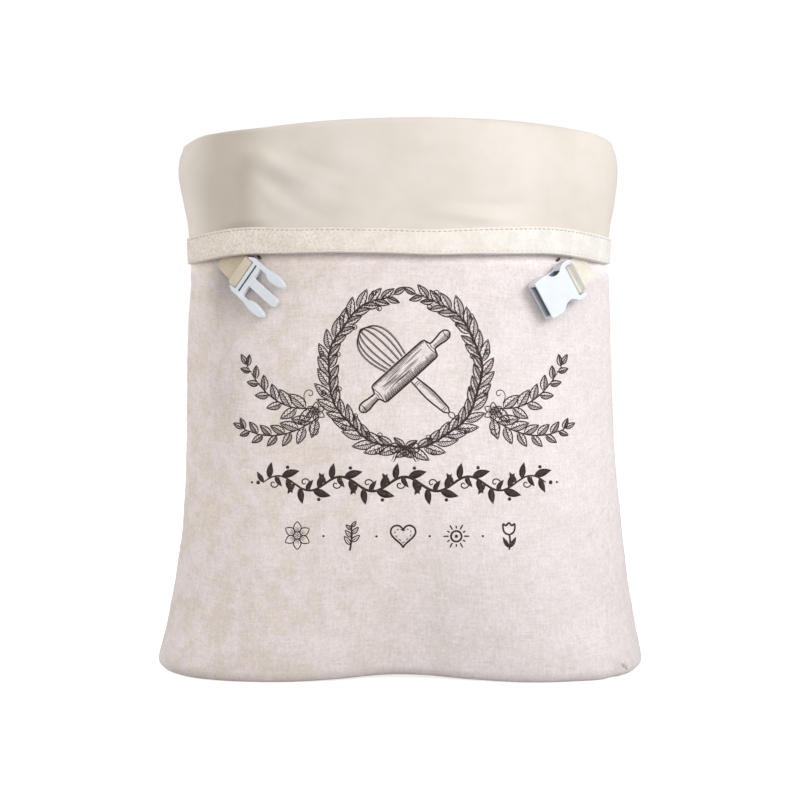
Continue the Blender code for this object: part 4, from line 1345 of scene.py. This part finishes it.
def wavy(start, end, rise, waves, count):
    """Points from start to end that swing to either side as a sine."""
    start, end = np.array(start), np.array(end)
    share = np.linspace(0.0, 1.0, count)
    run = end - start
    side = np.array((-run[1], run[0])) / np.linalg.norm(run)
    return start + share[:, None] * run + (rise * np.sin(2 * pi * waves * share))[:, None] * side


def curve_at(path, share):
    """Points of a path at shares of its length, and its heading there."""
    run = run_along(path)
    at = share * run[-1]
    way = points_at(at, run, np.gradient(path, run, axis=0))
    return points_at(at, run, path), np.arctan2(way[:, 1], way[:, 0])


def clipped(drawing, hidden):
    """A drawing without what lies where hidden says: each stroke is cut there, and its pieces keep their widths."""
    kept = []
    for paths, widths in drawing:
        fine = np.linspace(0.0, paths.shape[1] - 1, FINER * paths.shape[1])
        for line in np.concatenate((paths, widths[..., None]), axis=-1):
            dense = points_at(fine, np.arange(len(line)), line)
            seen = ~hidden(dense[:, 0], dense[:, 1])
            change = np.flatnonzero(np.diff(seen.astype(int))) + 1
            for piece in np.split(dense, change):
                if len(piece) > 2 and not hidden(*piece[0, :2]):
                    kept.append(points_at(np.linspace(0, len(piece) - 1, CUT_POINTS), np.arange(len(piece)), piece))
    kept = np.stack(kept)
    return [(kept[..., :2], kept[..., 2])]


def print_on_front(name, drawing):
    """A drawing as thin ink on the front panel.

    Each stroke is a low ridge with three points across, its two edges just clear of the linen and its crest a
    little higher, closed underneath and at both ends.
    """
    all_points, all_faces, used = [], [], 0
    for paths, widths in drawing:
        run = np.gradient(paths, axis=1)
        run /= np.maximum(np.linalg.norm(run, axis=-1, keepdims=True), 1e-9)
        side = joined(-run[..., 1], run[..., 0]) * widths[..., None]
        x, height = np.moveaxis(np.stack((paths - side, paths, paths + side), axis=2), -1, 0)
        depth = front_depth_at(x, height) + np.array((INK_EDGE, INK_CREST, INK_EDGE))
        strokes, length = paths.shape[:2]
        quads = grid_faces(length, 3, ring_columns=True)
        each, last = 3 * length, 3 * (length - 1)
        ends = ((0, 1, 2), (last + 2, last + 1, last))
        faces = np.concatenate((quads[:, [2, 1, 0]], quads[:, [3, 2, 0]], ends))
        offsets = used + each * np.arange(strokes)[:, None, None]
        all_points.append(joined(x, -depth, height).reshape(-1, 3))
        all_faces.append((faces[None] + offsets).reshape(-1, 3))
        used += each * strokes
    points, faces = np.concatenate(all_points), np.concatenate(all_faces)
    make_piece(name, points, faces, INK_FINISH, turn_out=False)


def wreath(draw):
    """Two leafy branches that rise from a crossing at the foot and nearly meet at the top, with berries."""
    drawing = []
    for way in (-1, 1):
        turn = np.linspace(-100.0, 82.0, 90) * pi / 180
        ripple = WREATH_RADIUS + 0.7 * np.sin(9 * turn + way)
        stem = joined(way * ripple * np.cos(turn), ripple * np.sin(turn))
        drawing += [family(stem, 0.55, 0.7, 0.3), family(stem * 1.012 + 0.2, 0.25, 0.7, 0.3)]
        count = WREATH_LEAVES
        share = (np.arange(count) + 0.6) / count * 0.965
        base, heading = curve_at(stem, share)
        size = np.interp(share, (0.0, 0.15, 0.8, 1.0), (10.5, 15.0, 13.5, 9.5)) * draw.uniform(0.92, 1.08, count)
        lean = radians(36.0) + draw.uniform(-0.08, 0.08, count)
        drawing += engraved_leaves(base, heading + lean * -way, size, 0.2, 0.12 * way, -way)
        base, heading = curve_at(stem, np.clip(share + 0.026, 0.0, 0.985))
        lean = radians(40.0) + draw.uniform(-0.08, 0.08, count)
        drawing += engraved_leaves(base, heading + lean * way, size * 0.8, 0.2, -0.12 * way, -way)
        base, heading = curve_at(stem, share[2::3] + 0.012)
        for lean, reach in ((-62.0, 6.5), (58.0, 5.5)):
            berry = base + reach * on_circle(heading + radians(lean))
            drawing.append(family(np.stack((base, (base + berry) / 2 + 0.3, berry), axis=1), 0.22))
            drawing += rings(berry, 1.5, 0.3) + dots(berry - 0.4, 0.62)
    tip, _ = curve_at(stem, np.array((1.0,)))
    drawing += engraved_leaves(np.concatenate((tip, tip * (-1, 1))), np.radians((150.0, 30.0)), 9.0, 0.2)
    foot = np.array((0.0, -WREATH_RADIUS))
    loops = np.linspace(0.0, 2 * pi, 30)
    bow = joined(7.5 * np.sin(loops), 3.1 * np.sin(2 * loops))
    for size, width in (((1.25, 1.0), 0.45), ((0.85, 0.62), 0.25)):
        drawing.append(family(foot + bow * size, width, 0.9, 0.9))
    for side in (-1, 1):
        swing = side * 1.1 * np.sin(np.linspace(0.0, 5.0, 12))
        tail = joined(side * np.linspace(0.8, 8.5, 12) + swing, -np.linspace(0.5, 9.0, 12))
        drawing += [family(foot + tail, 0.45, 0.8, 0.4), family(foot + tail + (side * 1.5, 0.4), 0.25, 0.8, 0.4)]
    drawing += dots(foot, 1.7)
    return placed(drawing, WREATH_AT)


def pin_half(along):
    return np.interp(np.abs(along), PIN_PROFILE_AT, PIN_PROFILE)


def rolling_pin(draw):
    """A turned rolling pin, lying along x: its outline, its end lines, grain, and hatching that rounds it."""
    along = np.linspace(-38.2, 38.2, 150)
    drawing = [stroke(along, side * pin_half(along), 0.58, 0.9, 0.9) for side in (-1, 1)]
    bow = np.linspace(-1.0, 1.0, 12)
    for end in (-1, 1):
        for at, size in ((22.6, 6.0), (24.0, 2.4), (35.6, 2.9)):
            drawing.append(stroke(end * (at - 0.9 * (1 - bow**2)), size * bow, 0.3))
    at = np.arange(-21.4, 21.5, 0.78)[:, None]
    step = np.linspace(0.0, 1.0, 7)
    for edge, reach in ((-7.0, 4.6), (7.0, -1.9)):
        long = reach * draw.uniform(0.75, 1.15, at.shape)
        drawing.append(stroke(at + 0.5 * np.sin(pi * step / 2), edge + long * step, 0.24, 1.0, 0.15))
    cross = at[::2]
    height = -6.9 + 2.3 * step * draw.uniform(0.8, 1.1, cross.shape)
    drawing.append(stroke(cross + 1.5 * step, height, 0.2, 1.0, 0.2))
    starts = draw.uniform(-20.5, 6.0, 22)[:, None]
    level = (np.repeat(np.linspace(-2.2, 5.0, 11), 2) + draw.uniform(-0.2, 0.2, 22))[:, None]
    run = np.linspace(0.0, 1.0, 16) * draw.uniform(9.0, 19.0, 22)[:, None]
    grain = level + 0.22 * np.sin((starts + run) / 3.1 + level)
    drawing.append(stroke(np.minimum(starts + run, 21.5), grain, 0.17, 0.4, 0.2))
    for end in (-1, 1):
        at = end * np.arange(24.6, 37.4, 0.72)[:, None]
        height = -pin_half(at) * 0.96 + 1.15 * pin_half(at) * step
        drawing.append(stroke(at + 0.3 * step, height, 0.2, 1.0, 0.15))
    return drawing


def whisk(draw):
    """A balloon whisk lying along x: a ringed handle, and wires that swell and close again at the tip."""
    drawing = []
    turn = np.linspace(0.0, pi, 60)
    share = (1.0 - np.cos(turn)) / 2
    swell = np.sin(turn) * (0.42 + 0.72 * share)
    for wide in (-13.0, -9.0, -4.2, 1.0, 5.8, 10.0, 13.0):
        wire = joined(-7.0 + 46.0 * share * (1.0 - 0.03 * (wide / 13.0) ** 2), wide * swell)
        drawing.append(family(wire, 0.36, 0.9, 0.9))
        drawing.append(family(wire + (0.0, 0.75 * np.sign(wide + 0.1)), 0.17, 0.9, 0.9))
    along = np.linspace(-39.0, -6.0, 60)
    half = 2.1 + 1.1 * np.sin((along + 39.0) / 33.0 * pi) ** 2 - 1.9 * np.clip((-37.4 - along) / 1.6, 0.0, 1.0) ** 2
    drawing += [stroke(along, side * half, 0.52, 0.9, 0.9) for side in (-1, 1)]
    bow = np.linspace(-1.0, 1.0, 9)
    for at in (-36.2, -34.9, -12.4, -11.0, -8.0, -6.6):
        drawing.append(stroke(at + 0.6 * (1 - bow**2), 2.5 * bow, 0.26))
    step = np.linspace(0.0, 1.0, 6)
    at = np.arange(-33.8, -12.8, 0.75)[:, None]
    height = -3.0 + 2.9 * step * draw.uniform(0.8, 1.1, at.shape)
    drawing.append(stroke(at + 0.3 * step, height, 0.2, 1.0, 0.15))
    loop = np.linspace(0.0, 2 * pi, 16)
    drawing.append(stroke(-41.2 + 2.3 * np.cos(loop), 1.7 * np.sin(loop), 0.34, 0.9, 0.9))
    return drawing


def under_pin(x, z):
    """True where a point of the panel lies under the rolling pin or right beside it."""
    turn = radians(PIN_ANGLE)
    along = (x - WREATH_AT[0]) * cos(turn) + (z - WREATH_AT[1]) * sin(turn)
    across = (z - WREATH_AT[1]) * cos(turn) - (x - WREATH_AT[0]) * sin(turn)
    return (np.abs(across) < pin_half(along) + 0.7) & (np.abs(along) < 38.6)


def sprays(draw):
    """Two curling sprays on each side of the wreath, with leaves that get smaller and a flower where they part."""
    drawing = []
    for way in (-1, 1):
        side = []
        for start, middle, end in (
            ((60.0, 176.0), (88.0, 170.0), (107.0, 204.0)),
            ((58.0, 170.0), (84.0, 150.0), (109.0, 162.0)),
        ):
            share = np.linspace(0.0, 1.0, 50)[:, None]
            stem = (1 - share) ** 2 * start + 2 * share * (1 - share) * np.array(middle) + share**2 * np.array(end)
            side.append(family(stem, 0.45, 0.9, 0.3))
            at = np.linspace(0.12, 0.98, SPRAY_LEAVES)
            base, heading = curve_at(stem, at)
            size = np.linspace(14.0, 8.0, SPRAY_LEAVES) * draw.uniform(0.94, 1.06, SPRAY_LEAVES)
            side += engraved_leaves(base, heading + radians(50.0), size, 0.23, -0.14, -1.0)
            base, heading = curve_at(stem, np.clip(at - 0.07, 0.0, 1.0))
            side += engraved_leaves(base, heading - radians(50.0), size * 0.94, 0.23, 0.14, -1.0)
            tip, heading = curve_at(stem, np.array((1.0,)))
            side += engraved_leaves(tip, heading, 8.0, 0.2, 0.0, -1.0, 6)
        side += spiral((66.0, 178.0), 1.0, 30.0, 1.15, 0.3) + spiral((64.0, 166.0), -1.3, 28.0, 1.1, 0.3, -1.0)
        side += placed(flower(6.2), (60.0, 173.0))
        centre = np.array((WREATH_AT[0], 0.0))
        drawing += placed([(paths - centre, widths) for paths, widths in side], centre, mirrored=way < 0)
    return drawing


def flower(size, petals=6):
    """Round petals about a dotted middle, with short lines at the foot of each petal."""
    turn = 2 * pi * (np.arange(petals) + 0.5) / petals
    way = on_circle(turn)
    lay = leaf_lay(way * size * 0.24, turn, size * 0.78, 0.36, 0.0)
    edges = leaf_point(np.linspace(0.0, 1.0, 14), LEAF_EDGES, *lay)
    veins = leaf_point(np.linspace(0.05, 0.5, 4), np.array((-0.4, 0.0, 0.4))[:, None], *lay)
    seeds = np.concatenate((np.zeros((1, 2)), way * size * 0.13))
    middle = rings((0.0, 0.0), size * 0.25, 0.32) + dots(seeds, 0.42)
    return [family(edges, 0.36, 0.8, 0.8), family(veins, 0.18)] + middle


def vine():
    """A bold running vine: a swinging stem, filled leaves to either side, tendrils and round buds."""
    stem = wavy((-VINE_REACH, 0.0), (VINE_REACH, 0.0), 4.6, 4.5, 220)
    drawing = [family(stem, 0.85, 0.4, 0.4)]
    crests = (np.arange(VINE_CRESTS) + 0.5) / VINE_CRESTS
    side = np.where(np.arange(VINE_CRESTS) % 2 == 0, 1.0, -1.0)
    for back, lean, size, plump, bend in (
        (0.030, 62.0, 10.5, 0.21, -0.15),
        (-0.012, 40.0, 12.0, 0.21, -0.15),
        (0.052, 98.0, 8.0, 0.21, -0.15),
        (-0.030, -48.0, 10.0, 0.2, 0.15),
        (0.010, -76.0, 8.0, 0.2, 0.15),
    ):
        at, way = curve_at(stem, np.clip(crests - back, 0.0, 1.0))
        drawing += solid_leaves(at, way + side * radians(lean), size, plump, bend * side)
    base, heading = curve_at(stem, crests)
    for at, way, turned in zip(base, heading, side):
        drawing += spiral(at, way - turned * 1.25, 25.0, 1.05, 0.42, -turned)
    ends = np.array(((-VINE_REACH - 3.2, 0.0), (VINE_REACH + 3.2, 0.0)))
    drawing += dots(base + joined(6.2, side * 5.6), 1.15) + dots(ends, 1.3) + dots(ends * (1.045, 1.0), 0.8)
    return placed(drawing, VINE_AT)


def sprig():
    stem = joined(1.2 * np.sin(np.linspace(0.0, 2.4, 16)), np.linspace(-9.0, 7.5, 16))
    run = np.linspace(0.0, 1.0, 14)
    drawing = [family(stem, MOTIF_HEAVY, 0.9, 0.6)]
    for turn, at in ((1.0, (0.24, 0.53, 0.82)), (-1.0, (0.36, 0.66, 0.92))):
        base, heading = curve_at(stem, np.array(at))
        lay = leaf_lay(base, heading + 0.95 * turn, np.array((6.6, 5.8, 4.6)), 0.21, -0.12 * turn)
        drawing.append(family(leaf_point(run, LEAF_EDGES, *lay), 0.4, 0.8, 0.8))
        drawing.append(family(leaf_point(run[:10], 0.0, *lay), 0.26, 0.8, 0.3))
    return drawing


def heart():
    """A heart and a dashed one inside it: x is the cube of a sine, and the height a sum of cosines."""
    turn = np.linspace(0.0, 2 * pi, 60)
    x = 16 * np.sin(turn) ** 3
    z = 13 * np.cos(turn) - 5 * np.cos(2 * turn) - 2 * np.cos(3 * turn) - np.cos(4 * turn)
    outline = joined(x, z + 2.0)
    inner = 0.33 * outline[:-1]
    dashes = np.stack((inner[::4][:14], inner[2::4][:14]), axis=1)
    return [family(0.5 * outline, MOTIF_HEAVY, 0.9, 0.9), family(dashes, 0.3, 0.9, 0.9)]


def sun():
    far = np.where(np.arange(12) % 2 == 0, 8.4, 6.8)[:, None]
    share = np.linspace(0.0, 1.0, 5)
    rays = on_circle(2 * pi * np.arange(12) / 12)[:, None, :] * (4.9 + (far - 4.9) * share)[..., None]
    return rings((0.0, 0.0), 3.4, MOTIF_HEAVY) + [family(rays, 0.48, 0.9, 0.5)] + dots((0.0, 0.0), 1.1)


def tulip():
    leaves = solid_leaves(((0.2, -7.5), (0.2, -7.5)), np.radians((48.0, 132.0)), 8.0, 0.17, (0.18, -0.18))
    cup = np.array(((0.0, 0.6), (-2.6, 1.5), (-3.9, 4.0), (-3.9, 8.2), (-1.9, 5.8), (0.0, 8.8)))
    cup = rounded_path(np.concatenate((cup, cup[-2::-1] * (-1.0, 1.0))), 2)
    return [
        stroke(0.7 * np.sin(np.linspace(0.0, 3.0, 14)), np.linspace(-8.8, 1.0, 14), MOTIF_HEAVY, 0.9, 0.9),
        family(cup, MOTIF_HEAVY, 0.9, 0.9),
        *leaves,
    ]


def motifs():
    """Five small motifs in a row, with dots between."""
    drawing = []
    for across, shape in zip(MOTIF_ACROSS, (flower(8.8), sprig(), heart(), sun(), tulip())):
        drawing += placed(shape, (across, MOTIF_AT))
    return drawing + dots([(across + 17.0, MOTIF_AT) for across in MOTIF_ACROSS[:-1]], 0.75)


def ornament():
    draw = np.random.default_rng(DRAW_SEED)
    print_on_front("ink_wreath", wreath(draw))
    print_on_front("ink_rolling_pin", placed(rolling_pin(draw), WREATH_AT, PIN_ANGLE))
    print_on_front("ink_whisk", clipped(placed(whisk(draw), WREATH_AT, WHISK_ANGLE), under_pin))
    print_on_front("ink_sprays", sprays(draw))
    print_on_front("ink_vine", vine())
    print_on_front("ink_motifs", motifs())


# ---- Stage, light and camera ----

FLOOR_REACH, FLOOR_LIFT = 30.0, 0.78
BACKDROP, AMBIENT = 1.04, 0.595
LENS, SENSOR, NEAREST = 45.65, 36.0, 0.01
CAMERA_AT = (0.0, -0.7, 0.1806)
# Each light: name, where it is, where it points, its size, its power and its colour
LIGHTS = (
    ("key", (0.82, -0.94, 0.66), (0.0, 0.0, 0.25), (0.6, 0.6), 10.2, (0.955, 0.98, 1.0)),
    ("side fill", (-1.25, 0.25, 0.4), (0.0, 0.0, 0.2), (0.5, 0.9), 5.5, (1.0, 0.99, 0.97)),
    ("front fill", (-0.35, -1.5, 0.55), (0.0, 0.0, 0.25), (0.9, 0.9), 4.0, (1.0, 1.0, 1.0)),
    ("top", (0.0, -0.4, 2.2), (0.0, -0.1, 0.0), (2.4, 2.4), 7.5, (1.0, 1.0, 1.0)),
)


def floor():
    """A wide flat floor that shows as bright as the studio round it, apart from the bag's soft shadow."""
    corners = ((-1.0, -1.0), (1.0, -1.0), (1.0, 1.0), (-1.0, 1.0))
    mesh = bpy.data.meshes.new("floor")
    mesh.from_pydata([(FLOOR_REACH * x, FLOOR_REACH * y, 0.0) for x, y in corners], [], [(0, 1, 2, 3)])
    made, n, shader = finish(
        "pale floor", 0.9, Base_Color=(0.55, 0.55, 0.55, 1.0), Emission_Color=(1.0, 1.0, 1.0, 1.0)
    )
    seen = n.add("ShaderNodeLightPath").outputs["Is Camera Ray"]
    n.put(shader["Emission Strength"], n.product(seen, FLOOR_LIFT))
    mesh.materials.append(made)
    in_scene("floor", mesh)


def studio():
    """A pale room that is brighter to the camera than as a light, and the lights in it."""
    world = bpy.data.worlds.new("studio")
    world.use_nodes = True
    n = Nodes(world.node_tree)
    seen = n.add("ShaderNodeLightPath").outputs["Is Camera Ray"]
    back = world.node_tree.nodes["Background"].inputs
    back["Color"].default_value = (1.0, 0.99, 0.975, 1.0)
    n.put(back["Strength"], n.sum(n.product(seen, BACKDROP - AMBIENT), AMBIENT))
    bpy.context.scene.world = world
    bpy.context.scene.view_settings.view_transform = "Standard"
    for name, at, towards, size, power, colour in LIGHTS:
        data = bpy.data.lights.new(name, "AREA")
        data.shape = "RECTANGLE"
        data.size, data.size_y = size
        data.energy = power
        data.color = colour
        light = in_scene(name, data)
        light.rotation_euler = (Vector(towards) - Vector(at)).to_track_quat("-Z", "Y").to_euler()
        light.location = at


def camera():
    data = bpy.data.cameras.new("camera")
    data.lens, data.sensor_width, data.clip_start = LENS, SENSOR, NEAREST
    made = in_scene("camera", data)
    made.location = CAMERA_AT
    made.rotation_euler = (pi / 2, 0.0, 0.0)
    bpy.context.scene.camera = made


studio()
camera()
floor()
panels()
binding()
binding_stitches()
tacks()
buckle()
ornament()
